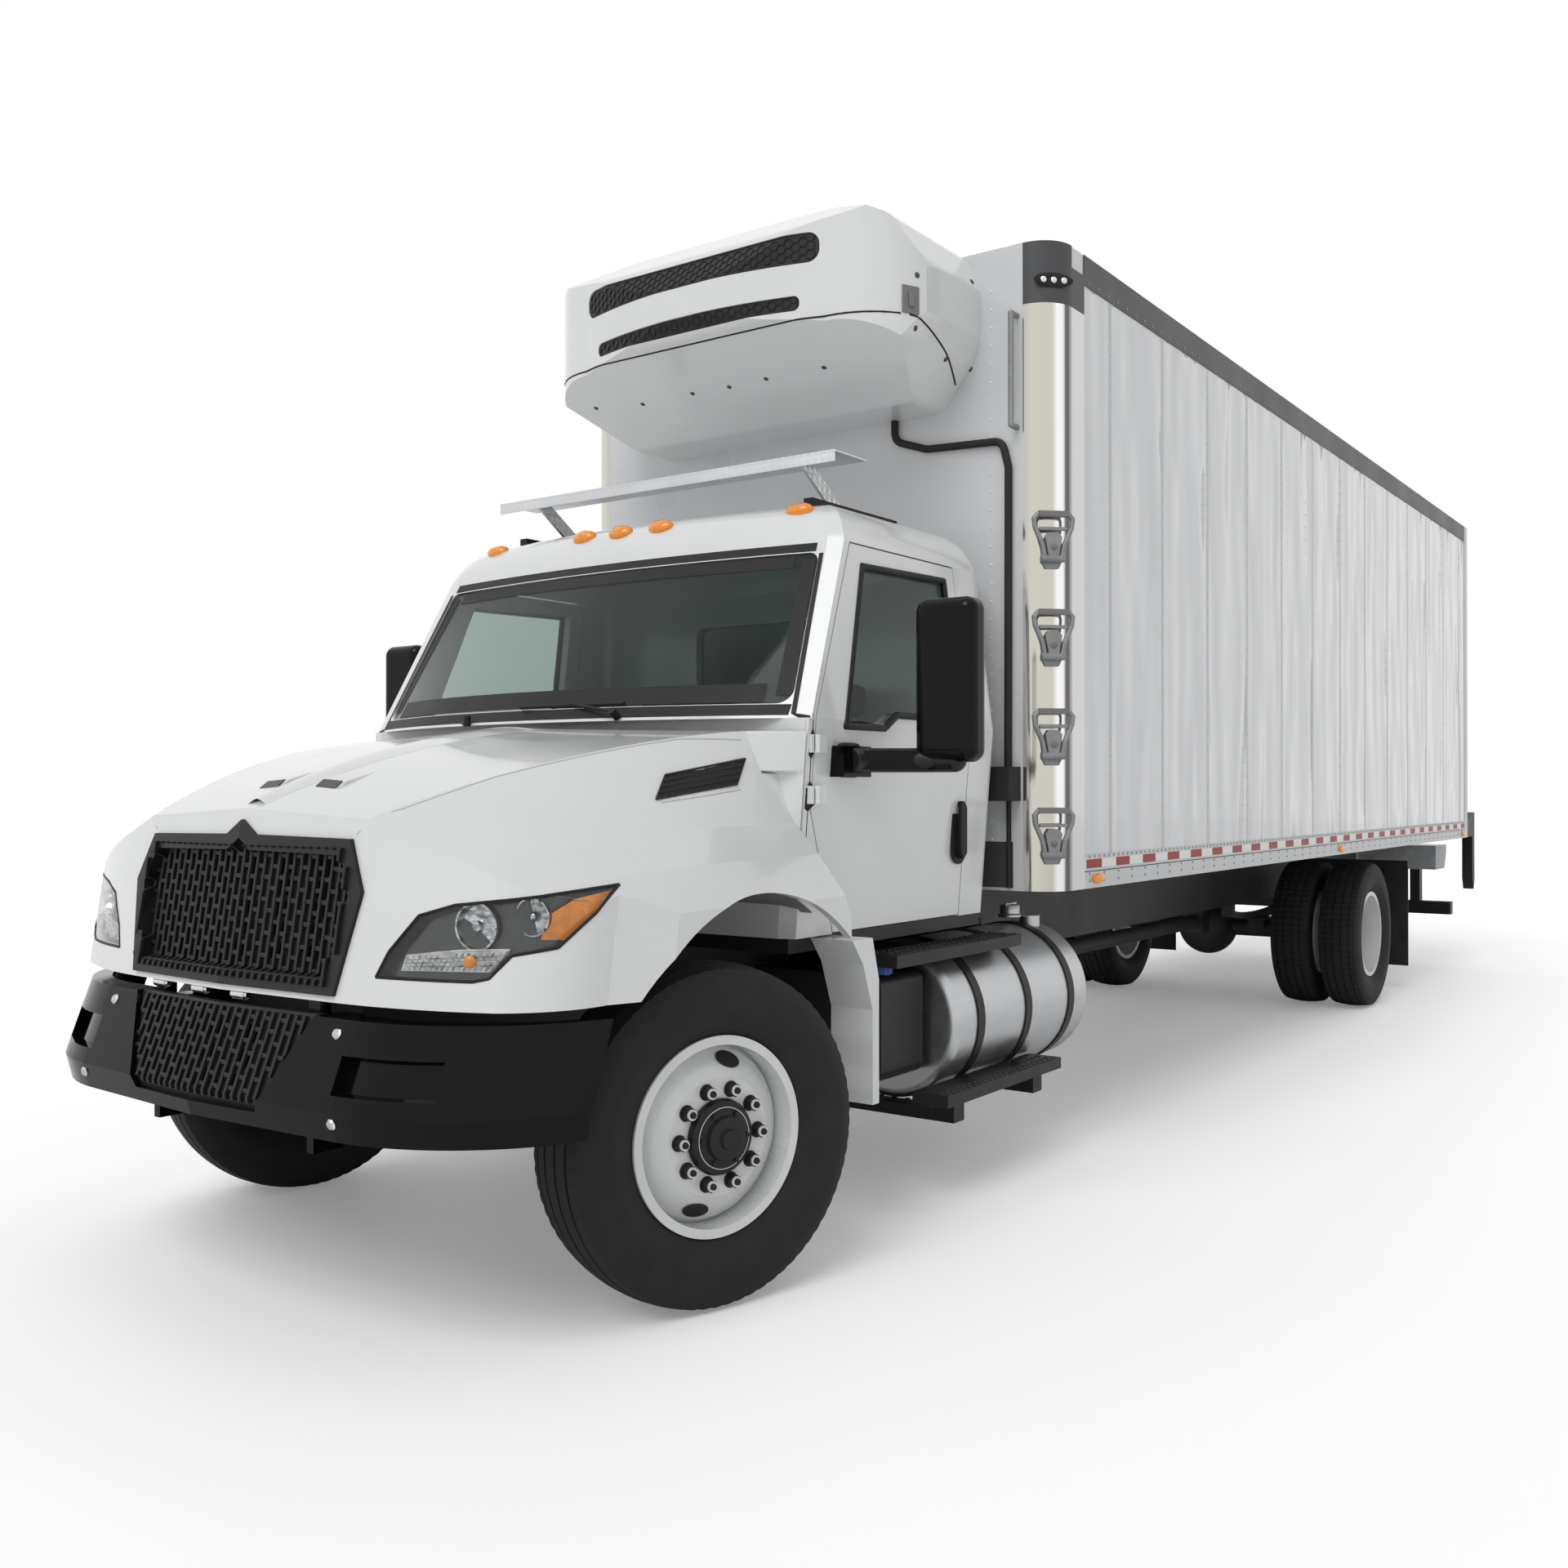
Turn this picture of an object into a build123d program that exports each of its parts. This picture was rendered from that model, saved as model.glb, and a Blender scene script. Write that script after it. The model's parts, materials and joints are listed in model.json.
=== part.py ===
# Refrigerated box truck: conventional cab, tilting hood, insulated load box, front-wall cooling unit.
# Frame: +X forward, +Y to the driver's left, +Z up, origin on the ground under the middle of the length.
# All lengths are in millimetres.
from build123d import *
from math import cos, pi, radians, sin
import os

os.makedirs("parts", exist_ok=True)

# Overall layout along X, measured from the front axle
FRONT_OVERHANG = 1095.0
WHEELBASE = 7350.0
BOX_FRONT_SETBACK = 1940.0
BOX_LENGTH = 8197.0
GATE_REACH = 330.0
CAB_BACK_SETBACK = 1810.0

OVERALL_LENGTH = FRONT_OVERHANG + BOX_FRONT_SETBACK + BOX_LENGTH + GATE_REACH
FX = OVERALL_LENGTH / 2 - FRONT_OVERHANG
RX = FX - WHEELBASE
BOX_FRONT = FX - BOX_FRONT_SETBACK
BOX_REAR = BOX_FRONT - BOX_LENGTH
CAB_BACK = FX - CAB_BACK_SETBACK

# Running gaps
FIT_GAP = 0.3
PIN_GAP = 0.5
SEAM_GAP = 6.0

# Wheels and tyres
TYRE_RADIUS = 515.0
TYRE_WIDTH = 279.0
TYRE_CROWN = 14.0
RIM_SEAT_RADIUS = 286.0
RIM_FLANGE_RADIUS = 300.0
RIM_WIDTH = 210.0
RIM_WALL = 14.0
HUB_RADIUS = 92.0
HUB_FACE_RADIUS = 178.0
STUD_CIRCLE = 142.9
STUD_COUNT = 10
STUD_RADIUS = 16.0
STUD_LENGTH = 34.0
FRONT_RIM_FACE = 1165.0
REAR_RIM_FACE = 1181.0
DUAL_SPACING = 330.0
DRUM_RADIUS = 215.0

# Steering
KINGPIN_Y = 885.0
KINGPIN_RADIUS = 24.0
PARKED_STEER = -16.0
STEER_ARM = 180.0
TIE_ROD_RADIUS = 15.0
TIE_PIN_RADIUS = 12.0

# Frame ladder
RAIL_Y = 432.0
RAIL_TOP = 1000.0
RAIL_HEIGHT = 270.0
RAIL_FLANGE = 85.0
RAIL_WALL = 10.0
RAIL_FRONT = FX + 800.0
RAIL_REAR = BOX_REAR + 240.0
RAIL_BOTTOM = RAIL_TOP - RAIL_HEIGHT

# Load box
BOX_HALF = 1295.5
BOX_BOTTOM = 1128.0
BOX_TOP = 3798.0
WALL = 75.0
FRONT_WALL = 100.0
FLOOR_TOP = 1268.0
ROOF_THICK = 90.0
CORNER_RADIUS = 150.0
CORNER_STRIP = 123.0
BOTTOM_RAIL_TOP = 1270.0
TOP_RAIL_HEIGHT = 127.0
RAIL_SKIN = 5.0

# Cab
CAB_SILL = 1000.0
CAB_BOTTOM = 1050.0
BELT_Z = 1785.0
HEADER_Z = 2425.0
ROOF_Z = 2600.0
CAB_WALL = 60.0
CAB_HALF_SILL = 1050.0
CAB_HALF_BELT = 1108.0
CAB_HALF_HEADER = 1025.0

# Hood
HOOD_BOTTOM = 962.0
HOOD_WALL = 28.0
NOSE_X = FX + 980.0
NOSE_RAKE = 0.161
FENDER_HALF = 1205.0
ARCH_X = FX - 100.0
ARCH_Z = 530.0
ARCH_RADIUS = 700.0


def block(x, y, z, mode=Mode.ADD):
    """Add a plain block that spans the (low, high) pairs x, y and z to the open part."""
    middle = ((x[0] + x[1]) / 2, (y[0] + y[1]) / 2, (z[0] + z[1]) / 2)
    with Locations(middle):
        Box(x[1] - x[0], y[1] - y[0], z[1] - z[0], mode=mode)


def bar_y(x, z, radius, y, mode=Mode.ADD):
    """Add a round bar along Y, from y[0] to y[1], to the open part."""
    with Locations(Location((x, (y[0] + y[1]) / 2, z), (90, 0, 0))):
        Cylinder(radius, y[1] - y[0], mode=mode)


def bar_x(y, z, radius, x, mode=Mode.ADD):
    """Add a round bar along X, from x[0] to x[1], to the open part."""
    with Locations(Location(((x[0] + x[1]) / 2, y, z), (0, 90, 0))):
        Cylinder(radius, x[1] - x[0], mode=mode)


def bar_z(x, y, radius, z, mode=Mode.ADD):
    """Add a round bar along Z, from z[0] to z[1], to the open part."""
    with Locations((x, y, (z[0] + z[1]) / 2)):
        Cylinder(radius, z[1] - z[0], mode=mode)


def outline_xz(points, y, mode=Mode.ADD):
    """Extrude a closed side-view outline of (x, z) points from y[0] to y[1]."""
    with BuildSketch(Plane.XZ.offset(-y[1])) as outline:
        with BuildLine():
            Polyline(*points, close=True)
        make_face()
    extrude(outline.sketch, amount=y[1] - y[0], mode=mode)



def save(part, name):
    """Label a finished piece and write it."""
    part.label = name
    export_step(part, f"parts/{name}.step")



# Frame ladder: two channel rails and the cross-members between them
CROSS_MEMBERS = [670.0, -1900.0, -3500.0, -5100.0, -6500.0, -8200.0, -9500.0]
CROSS_DEPTH = 120.0
CROSS_WIDTH = 110.0
SILL_WIDTH = 80.0
SILL_SETBACK = 60.0
with BuildPart() as frame_ladder:
    for side in (1, -1):
        web = sorted((side * RAIL_Y, side * (RAIL_Y - RAIL_WALL)))
        flange = sorted((side * RAIL_Y, side * (RAIL_Y - RAIL_FLANGE)))
        block((RAIL_REAR, RAIL_FRONT), web, (RAIL_BOTTOM, RAIL_TOP))
        block((RAIL_REAR, RAIL_FRONT), flange, (RAIL_TOP - RAIL_WALL, RAIL_TOP))
        block((RAIL_REAR, RAIL_FRONT), flange, (RAIL_BOTTOM, RAIL_BOTTOM + RAIL_WALL))
    for place in CROSS_MEMBERS:
        reach = (FX + place - CROSS_WIDTH / 2, FX + place + CROSS_WIDTH / 2)
        span = (-RAIL_Y + RAIL_WALL, RAIL_Y - RAIL_WALL)
        block(reach, span, (RAIL_BOTTOM + RAIL_WALL, RAIL_BOTTOM + RAIL_WALL + CROSS_DEPTH))
    # Long sills that carry the load box on the rails
    for side in (1, -1):
        across = sorted((side * RAIL_Y, side * (RAIL_Y - SILL_WIDTH)))
        block((RAIL_REAR, BOX_FRONT - SILL_SETBACK), across, (RAIL_TOP, BOX_BOTTOM))
save(frame_ladder.part, "frame_ladder")

# Leaf springs: one arched pack on each side, hung from brackets under the rails
SPRING_WIDTH = 76.0
SPRING_THICK = 44.0
HANGER_LENGTH = 70.0


def spring_pair(axle_x, middle_y, half_length, seat_z):
    """Two leaf packs, each curving from its seat up to the hangers under the rail."""
    eye_z = RAIL_BOTTOM - 40.0
    for side in (1, -1):
        across = (side * middle_y - SPRING_WIDTH / 2, side * middle_y + SPRING_WIDTH / 2)
        with BuildSketch(Plane.XZ.offset(-across[1])) as leaf_pack:
            with BuildLine():
                rear = (axle_x - half_length, eye_z)
                front = (axle_x + half_length, eye_z)
                ThreePointArc(rear, (axle_x, seat_z), front)
                Line(front, (front[0], eye_z - SPRING_THICK))
                ThreePointArc((front[0], eye_z - SPRING_THICK), (axle_x, seat_z - SPRING_THICK),
                              (rear[0], eye_z - SPRING_THICK))
                Line((rear[0], eye_z - SPRING_THICK), rear)
            make_face()
        extrude(leaf_pack.sketch, amount=SPRING_WIDTH)
        for end in (axle_x - half_length, axle_x + half_length):
            reach = (end - HANGER_LENGTH / 2, end + HANGER_LENGTH / 2)
            block(reach, across, (eye_z - SPRING_THICK, RAIL_BOTTOM))


FRONT_SPRING_Y = RAIL_Y - 40.0
FRONT_SPRING_HALF = 560.0
FRONT_SPRING_SEAT = 610.0
REAR_SPRING_Y = RAIL_Y - 40.0
REAR_SPRING_HALF = 700.0
REAR_SPRING_SEAT = 640.0

# Front axle with its springs: a straight beam with a kingpin eye at each end and a pad under each spring
BEAM_LOW = 455.0
BEAM_HIGH = 545.0
BEAM_WIDTH = 80.0
EYE_RADIUS = 46.0
EYE_LOW = 450.0
EYE_HIGH = 580.0
PAD_HALF = 60.0
with BuildPart() as front_axle:
    spring_pair(FX, FRONT_SPRING_Y, FRONT_SPRING_HALF, FRONT_SPRING_SEAT)
    block((FX - BEAM_WIDTH / 2, FX + BEAM_WIDTH / 2), (-KINGPIN_Y, KINGPIN_Y), (BEAM_LOW, BEAM_HIGH))
    for side in (1, -1):
        bar_z(FX, side * KINGPIN_Y, EYE_RADIUS, (EYE_LOW, EYE_HIGH))
        pad = (side * FRONT_SPRING_Y - PAD_HALF, side * FRONT_SPRING_Y + PAD_HALF)
        block((FX - BEAM_WIDTH, FX + BEAM_WIDTH), pad, (BEAM_LOW, FRONT_SPRING_SEAT - SPRING_THICK))
    for side in (1, -1):
        bar_z(FX, side * KINGPIN_Y, KINGPIN_RADIUS + PIN_GAP, (EYE_LOW, EYE_HIGH), Mode.SUBTRACT)
save(front_axle.part, "front_axle")

# Engine and gearbox: one plain mass between the rails, with the radiator standing ahead of it
ENGINE_FRONT = FX + 470.0
ENGINE_REAR = FX - 400.0
ENGINE_HALF = 300.0
ENGINE_Z = (700.0, 1440.0)
GEARBOX_REAR = FX - 1280.0
GEARBOX_HALF = 210.0
GEARBOX_Z = (480.0, 985.0)
MOUNT_X = (FX - 200.0, FX + 200.0)
MOUNT_Z = (800.0, 900.0)
RADIATOR_X = (FX + 620.0, FX + 720.0)
RADIATOR_HALF = 340.0
RADIATOR_TOP = 1380.0
with BuildPart() as power_unit:
    block((ENGINE_REAR, ENGINE_FRONT), (-ENGINE_HALF, ENGINE_HALF), ENGINE_Z)
    block((GEARBOX_REAR, ENGINE_REAR), (-GEARBOX_HALF, GEARBOX_HALF), GEARBOX_Z)
    block(MOUNT_X, (-RAIL_Y + RAIL_WALL, RAIL_Y - RAIL_WALL), MOUNT_Z)
    foot = RAIL_BOTTOM + RAIL_WALL + CROSS_DEPTH
    block(RADIATOR_X, (-RADIATOR_HALF, RADIATOR_HALF), (foot, RADIATOR_TOP))
save(power_unit.part, "power_unit")

# Rear axle with its springs: tube housing, spindles, round centre casing and the drive shaft ahead of it
AXLE_TUBE_RADIUS = 65.0
AXLE_HALF = 600.0
SPINDLE_RADIUS = 48.0
REAR_SPINDLE_END = 890.0
CASING_RADIUS = 215.0
SHAFT_Z = 560.0
SHAFT_RADIUS = 50.0
NOSE_REACH = 330.0
NOSE_HALF = 80.0
with BuildPart() as rear_axle:
    spring_pair(RX, REAR_SPRING_Y, REAR_SPRING_HALF, REAR_SPRING_SEAT)
    bar_y(RX, TYRE_RADIUS, AXLE_TUBE_RADIUS, (-AXLE_HALF, AXLE_HALF))
    bar_y(RX, TYRE_RADIUS, SPINDLE_RADIUS, (-REAR_SPINDLE_END, REAR_SPINDLE_END))
    with Locations((RX, 0, TYRE_RADIUS)):
        Sphere(CASING_RADIUS)
    block((RX, RX + NOSE_REACH), (-NOSE_HALF, NOSE_HALF), (SHAFT_Z - NOSE_HALF, SHAFT_Z + NOSE_HALF))
    bar_x(0, SHAFT_Z, SHAFT_RADIUS, (RX, GEARBOX_REAR))
    for side in (1, -1):
        pad = (side * REAR_SPRING_Y - PAD_HALF, side * REAR_SPRING_Y + PAD_HALF)
        block((RX - 100.0, RX + 100.0), pad, (TYRE_RADIUS, REAR_SPRING_SEAT - SPRING_THICK))
save(rear_axle.part, "rear_axle")



def turned(points, y, x, sense=1):
    """Turn a closed (radius, offset) outline about a wheel axle line; offsets run from y along sense."""
    with BuildSketch(Plane((x, 0, TYRE_RADIUS), x_dir=(1, 0, 0), z_dir=(0, 0, 1))) as section:
        with BuildLine():
            Polyline(*[(radius, y + sense * offset) for radius, offset in points], close=True)
        make_face()
    revolve(section.sketch, axis=Axis((x, 0, TYRE_RADIUS), (0, 1, 0)))


def rim_outline(seat, flange, wall, half):
    """Half-section of a wheel rim: a barrel with a flange at each edge."""
    lip = 10.0
    return [(seat - wall, -half), (flange, -half), (flange, -half + lip), (seat, -half + lip),
            (seat, half - lip), (flange, half - lip), (flange, half), (seat - wall, half)]


def tyre(x, y):
    """One tyre on the axle line, its middle plane at y: crowned tread, bulged walls, bead on the rim."""
    bead_half = RIM_WIDTH / 2 - 10.0 - FIT_GAP
    bead = RIM_SEAT_RADIUS + FIT_GAP
    clear = RIM_FLANGE_RADIUS + 2.0
    tread_half = TYRE_WIDTH / 2 - 24.0
    edge = TYRE_RADIUS - TYRE_CROWN
    bulge = (bead + edge) / 2 + 15.0
    with BuildSketch(Plane((x, 0, TYRE_RADIUS), x_dir=(1, 0, 0), z_dir=(0, 0, 1))) as section:
        with BuildLine():
            ThreePointArc((edge, y - tread_half), (TYRE_RADIUS, y), (edge, y + tread_half))
            ThreePointArc((edge, y + tread_half), (bulge, y + TYRE_WIDTH / 2), (clear, y + bead_half))
            Polyline((clear, y + bead_half), (bead, y + bead_half), (bead, y - bead_half),
                     (clear, y - bead_half))
            ThreePointArc((clear, y - bead_half), (bulge, y - TYRE_WIDTH / 2), (edge, y - tread_half))
        make_face()
    revolve(section.sketch, axis=Axis((x, 0, TYRE_RADIUS), (0, 1, 0)))


def steered(part, side):
    """Turn a piece of a front wheel end about its kingpin to the parked steering angle."""
    return part.rotate(Axis((FX, side * KINGPIN_Y, 0), (0, 0, 1)), PARKED_STEER)


# Front wheel ends. Offsets in the wheel outlines run outward from the rim face.
HUB_BORE = SPINDLE_RADIUS - 10.0
FRONT_SPINDLE_END = 1130.0
KNUCKLE_WEB = (KINGPIN_Y + EYE_RADIUS + 6.0, KINGPIN_Y + EYE_RADIUS + 60.0)
EAR_HALF = 45.0
EAR_THICK = 60.0
EAR_INNER = KINGPIN_Y - 40.0
HUB_INNER = KNUCKLE_WEB[1] + SEAM_GAP
DISC_THICK = 14.0
HUB_CAP_RADIUS = 62.0
HUB_CAP_REACH = 40.0
ARM_THICK = 26.0
ARM_HALF = 25.0
PIN_LENGTH = 40.0
ROD_EYE_RADIUS = 30.0
ROD_EYE_HEIGHT = 34.0

for side, name in ((1, "left"), (-1, "right")):
    # Steering knuckle: fork around the axle eye, kingpin, wheel spindle and steering arm
    with BuildPart() as knuckle:
        web = sorted((side * KNUCKLE_WEB[0], side * KNUCKLE_WEB[1]))
        ear = sorted((side * EAR_INNER, side * KNUCKLE_WEB[1]))
        low = (EYE_LOW - FIT_GAP - EAR_THICK, EYE_LOW - FIT_GAP)
        high = (EYE_HIGH + FIT_GAP, EYE_HIGH + FIT_GAP + EAR_THICK)
        block((FX - EAR_HALF, FX + EAR_HALF), web, (low[0], high[1]))
        block((FX - EAR_HALF, FX + EAR_HALF), ear, low)
        block((FX - EAR_HALF, FX + EAR_HALF), ear, high)
        bar_z(FX, side * KINGPIN_Y, KINGPIN_RADIUS, (low[1], high[0]))
        bar_y(FX, TYRE_RADIUS, HUB_BORE - PIN_GAP, sorted((side * KNUCKLE_WEB[0], side * FRONT_SPINDLE_END)))
        with BuildSketch(Plane.XY.offset(low[0])):
            with BuildLine():
                Polyline((FX - EAR_HALF + 5.0, side * EAR_INNER),
                         (FX - EAR_HALF + 5.0, side * KNUCKLE_WEB[0]),
                         (FX - STEER_ARM - ROD_EYE_RADIUS, side * (KINGPIN_Y + ARM_HALF)),
                         (FX - STEER_ARM - ROD_EYE_RADIUS, side * (KINGPIN_Y - ARM_HALF)), close=True)
            make_face()
        extrude(amount=ARM_THICK)
        bar_z(FX - STEER_ARM, side * KINGPIN_Y, TIE_PIN_RADIUS, (low[0] - PIN_LENGTH, low[0]))
    save(steered(knuckle.part, side), f"knuckle_{name}")

    # Front wheel: rim, domed disc, hub with cap and brake drum
    with BuildPart() as wheel:
        face = side * FRONT_RIM_FACE
        middle = side * (FRONT_RIM_FACE - RIM_WIDTH / 2)
        barrel = RIM_SEAT_RADIUS - RIM_WALL
        hub_start = HUB_INNER - FRONT_RIM_FACE
        turned(rim_outline(RIM_SEAT_RADIUS, RIM_FLANGE_RADIUS, RIM_WALL, RIM_WIDTH / 2), middle, FX)
        turned([(barrel + 1.0, -92.0), (barrel - 14.0, -70.0), (HUB_FACE_RADIUS, -6.0),
                (HUB_RADIUS - 10.0, -6.0),
                (HUB_RADIUS - 10.0, -6.0 - DISC_THICK), (HUB_FACE_RADIUS - 6.0, -6.0 - DISC_THICK),
                (barrel - 28.0, -84.0), (barrel + 1.0, -108.0)], face, FX, side)
        turned([(HUB_BORE, hub_start), (HUB_RADIUS, hub_start), (HUB_RADIUS, 24.0), (HUB_CAP_RADIUS, 24.0),
                (HUB_CAP_RADIUS - 8.0, HUB_CAP_REACH), (0.0, HUB_CAP_REACH), (0.0, -20.0), (HUB_BORE, -20.0)],
               face, FX, side)
        turned([(DRUM_RADIUS - 14.0, hub_start - 20.0), (DRUM_RADIUS, hub_start - 20.0), (DRUM_RADIUS, -90.0),
                (HUB_RADIUS - 4.0, -90.0), (HUB_RADIUS - 4.0, -104.0), (DRUM_RADIUS - 14.0, -104.0)],
                face, FX, side)
        axle_plane = Plane((FX, face - side * 6.0, TYRE_RADIUS), x_dir=(1, 0, 0), z_dir=(0, side, 0))
        with Locations(axle_plane):
            with PolarLocations(STUD_CIRCLE, STUD_COUNT):
                Cylinder(STUD_RADIUS, STUD_LENGTH, align=(Align.CENTER, Align.CENTER, Align.MIN))
    save(steered(wheel.part, side), f"wheel_front_{name}")

    with BuildPart() as front_tyre:
        tyre(FX, side * (FRONT_RIM_FACE - RIM_WIDTH / 2))
    save(steered(front_tyre.part, side), f"tyre_front_{name}")

# Tie rod between the steering arms: an eye on each arm's pin, drawn at the parked steering angle
with BuildPart() as tie_rod:
    low_z = EYE_LOW - FIT_GAP - EAR_THICK
    eye_z = (low_z - FIT_GAP - ROD_EYE_HEIGHT, low_z - FIT_GAP)
    arm_angle = radians(PARKED_STEER)
    pin_x = FX - STEER_ARM * cos(arm_angle)
    pin_shift = -STEER_ARM * sin(arm_angle)
    pin_places = [pin_shift - KINGPIN_Y, pin_shift + KINGPIN_Y]
    bar_y(pin_x, (eye_z[0] + eye_z[1]) / 2, TIE_ROD_RADIUS, pin_places)
    for pin_y in pin_places:
        bar_z(pin_x, pin_y, ROD_EYE_RADIUS, eye_z)
    for pin_y in pin_places:
        bar_z(pin_x, pin_y, TIE_PIN_RADIUS + PIN_GAP, (eye_z[0] - EAR_THICK, eye_z[1]), Mode.SUBTRACT)
save(tie_rod.part, "tie_rod")

# Rear twin wheels: two rims on one hub with its drum, both discs against the same flange
REAR_HUB_RADIUS = 112.0
REAR_HUB_INNER = AXLE_HALF + 25.0
REAR_FLANGE_DROP = REAR_RIM_FACE - 912.0
AXLE_END_REACH = 110.0
for side, name in ((1, "left"), (-1, "right")):
    with BuildPart() as wheels:
        face = side * REAR_RIM_FACE
        barrel = RIM_SEAT_RADIUS - RIM_WALL
        for rim_middle in (RIM_WIDTH / 2, RIM_WIDTH / 2 + DUAL_SPACING):
            turned(rim_outline(RIM_SEAT_RADIUS, RIM_FLANGE_RADIUS, RIM_WALL, RIM_WIDTH / 2),
                   side * (REAR_RIM_FACE - rim_middle), RX)
        for lean in (1, -1):
            seat = -REAR_FLANGE_DROP
            turned([(barrel + 1.0, seat + lean * 78.0), (barrel - 14.0, seat + lean * 62.0),
                    (HUB_FACE_RADIUS, seat + lean * DISC_THICK),
                    (REAR_HUB_RADIUS - 10.0, seat + lean * DISC_THICK),
                    (REAR_HUB_RADIUS - 10.0, seat), (HUB_FACE_RADIUS + 4.0, seat),
                    (barrel - 4.0, seat + lean * 46.0), (barrel + 1.0, seat + lean * 60.0)], face, RX, side)
        hub_start = REAR_HUB_INNER - REAR_RIM_FACE
        spindle_stop = REAR_SPINDLE_END + 1.0 - REAR_RIM_FACE
        turned([(SPINDLE_RADIUS + PIN_GAP, hub_start), (REAR_HUB_RADIUS, hub_start),
                (REAR_HUB_RADIUS, -REAR_FLANGE_DROP + AXLE_END_REACH),
                (0.0, -REAR_FLANGE_DROP + AXLE_END_REACH + 12.0), (0.0, spindle_stop),
                (SPINDLE_RADIUS + PIN_GAP, spindle_stop)], face, RX, side)
        axle_plane = Plane((RX, face - side * (REAR_FLANGE_DROP - DISC_THICK), TYRE_RADIUS),
                           x_dir=(1, 0, 0), z_dir=(0, side, 0))
        with Locations(axle_plane):
            with PolarLocations(STUD_CIRCLE, STUD_COUNT):
                Cylinder(STUD_RADIUS, STUD_LENGTH, align=(Align.CENTER, Align.CENTER, Align.MIN))
    save(wheels.part, f"wheels_rear_{name}")

    with BuildPart() as twin_tyres:
        for rim_middle in (RIM_WIDTH / 2, RIM_WIDTH / 2 + DUAL_SPACING):
            tyre(RX, side * (REAR_RIM_FACE - rim_middle))
    save(twin_tyres.part, f"tyres_rear_{name}")

# Cab shell: plan sections with a bowed front, straight sides and rounded rear corners.
# Columns: height, front middle, front corner X, front corner Y, half width at the sides, rear setback.
CAB_LOWER = [
    (CAB_BOTTOM, -425.0, -440.0, 990.0, CAB_HALF_SILL, CAB_BACK_SETBACK),
    (BELT_Z, -420.0, -436.0, 1048.0, CAB_HALF_BELT, CAB_BACK_SETBACK),
]
CAB_UPPER = [
    (BELT_Z, -200.0, -450.0, 1050.0, CAB_HALF_BELT, CAB_BACK_SETBACK),
    (HEADER_Z, -690.0, -770.0, 968.0, CAB_HALF_HEADER, CAB_BACK_SETBACK),
]
CAB_CROWN = [
    (HEADER_Z, -690.0, -770.0, 968.0, CAB_HALF_HEADER, CAB_BACK_SETBACK),
    (HEADER_Z + 100.0, -735.0, -825.0, 915.0, CAB_HALF_HEADER - 55.0, CAB_BACK_SETBACK - 15.0),
    (ROOF_Z, -900.0, -985.0, 720.0, CAB_HALF_HEADER - 240.0, CAB_BACK_SETBACK - 110.0),
]
CAB_CORNER = 80.0
PILLAR_STEP = 20.0
FRONT_SHARE = 0.5


def cab_block(table, inset):
    """Loft one storey of the cab from its plan sections, drawn inset by a wall."""
    sections = []
    for height, front, corner_x, corner_y, half, setback in table:
        nose = FX + front - inset * FRONT_SHARE
        corner = FX + corner_x - inset * FRONT_SHARE
        wide = corner_y - inset
        flank = half - inset
        back = FX - setback + inset
        bend = CAB_CORNER - inset / 2
        turn = bend * (1 - cos(pi / 4))
        with BuildSketch(Plane.XY.offset(height)) as section:
            with BuildLine():
                ThreePointArc((corner, -wide), (nose, 0), (corner, wide))
                Line((corner, wide), (corner - PILLAR_STEP, flank))
                Line((corner - PILLAR_STEP, flank), (back + bend, flank))
                ThreePointArc((back + bend, flank), (back + turn, flank - turn), (back, flank - bend))
                Line((back, flank - bend), (back, bend - flank))
                ThreePointArc((back, bend - flank), (back + turn, turn - flank), (back + bend, -flank))
                Line((back + bend, -flank), (corner - PILLAR_STEP, -flank))
                Line((corner - PILLAR_STEP, -flank), (corner, -wide))
            make_face()
        sections.append(section.sketch)
    return loft(sections, ruled=len(sections) == 2, mode=Mode.PRIVATE)


def side_prism(points, side, grow=0.0, inner=880.0):
    """A side-view outline of (x, z) places ahead of the front axle, extruded outward on one side."""
    with BuildSketch(Plane.XZ) as outline:
        with BuildLine():
            Polyline(*[(FX + x, z) for x, z in points], close=True)
        make_face()
        if grow:
            offset(amount=grow, kind=Kind.INTERSECTION)
    prism = extrude(outline.sketch, amount=400.0, mode=Mode.PRIVATE)
    return Pos(0, side * inner + (400.0 if side > 0 else 0.0), 0) * prism


def front_prism(points, reach):
    """A front-view outline of (y, z) points, extruded along X over the reach."""
    with BuildSketch(Plane.YZ.offset(reach[0])) as outline:
        with BuildLine():
            Polyline(*points, close=True)
        make_face()
        fillet(outline.vertices(), WINDOW_CORNER)
    return extrude(outline.sketch, amount=reach[1] - reach[0], mode=Mode.PRIVATE)


WINDOW_CORNER = 45.0
DOOR_REAR = -1560.0
DOOR_FRONT = -500.0
DOOR_OUTLINE = [(-680.0, CAB_BOTTOM + SEAM_GAP), (DOOR_FRONT, 1480.0), (DOOR_FRONT, BELT_Z),
                (-828.0, HEADER_Z - SEAM_GAP),
                (DOOR_REAR, HEADER_Z - SEAM_GAP), (DOOR_REAR, CAB_BOTTOM + SEAM_GAP)]
SIDE_WINDOW = [(-675.0, 1765.0), (-890.0, 2345.0), (-1480.0, 2360.0), (-1480.0, 1815.0), (-1010.0, 1815.0),
               (-900.0, 1765.0)]
WINDSCREEN = [(-1030.0, 1835.0), (1030.0, 1835.0), (950.0, 2385.0), (-950.0, 2385.0)]
REAR_WINDOW = [(-430.0, 1850.0), (430.0, 1850.0), (430.0, 2290.0), (-430.0, 2290.0)]
GLASS_INSET = 12.0
GLASS_THICK = 10.0
WINDSCREEN_REACH = (FX - 1000.0, FX)
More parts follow.
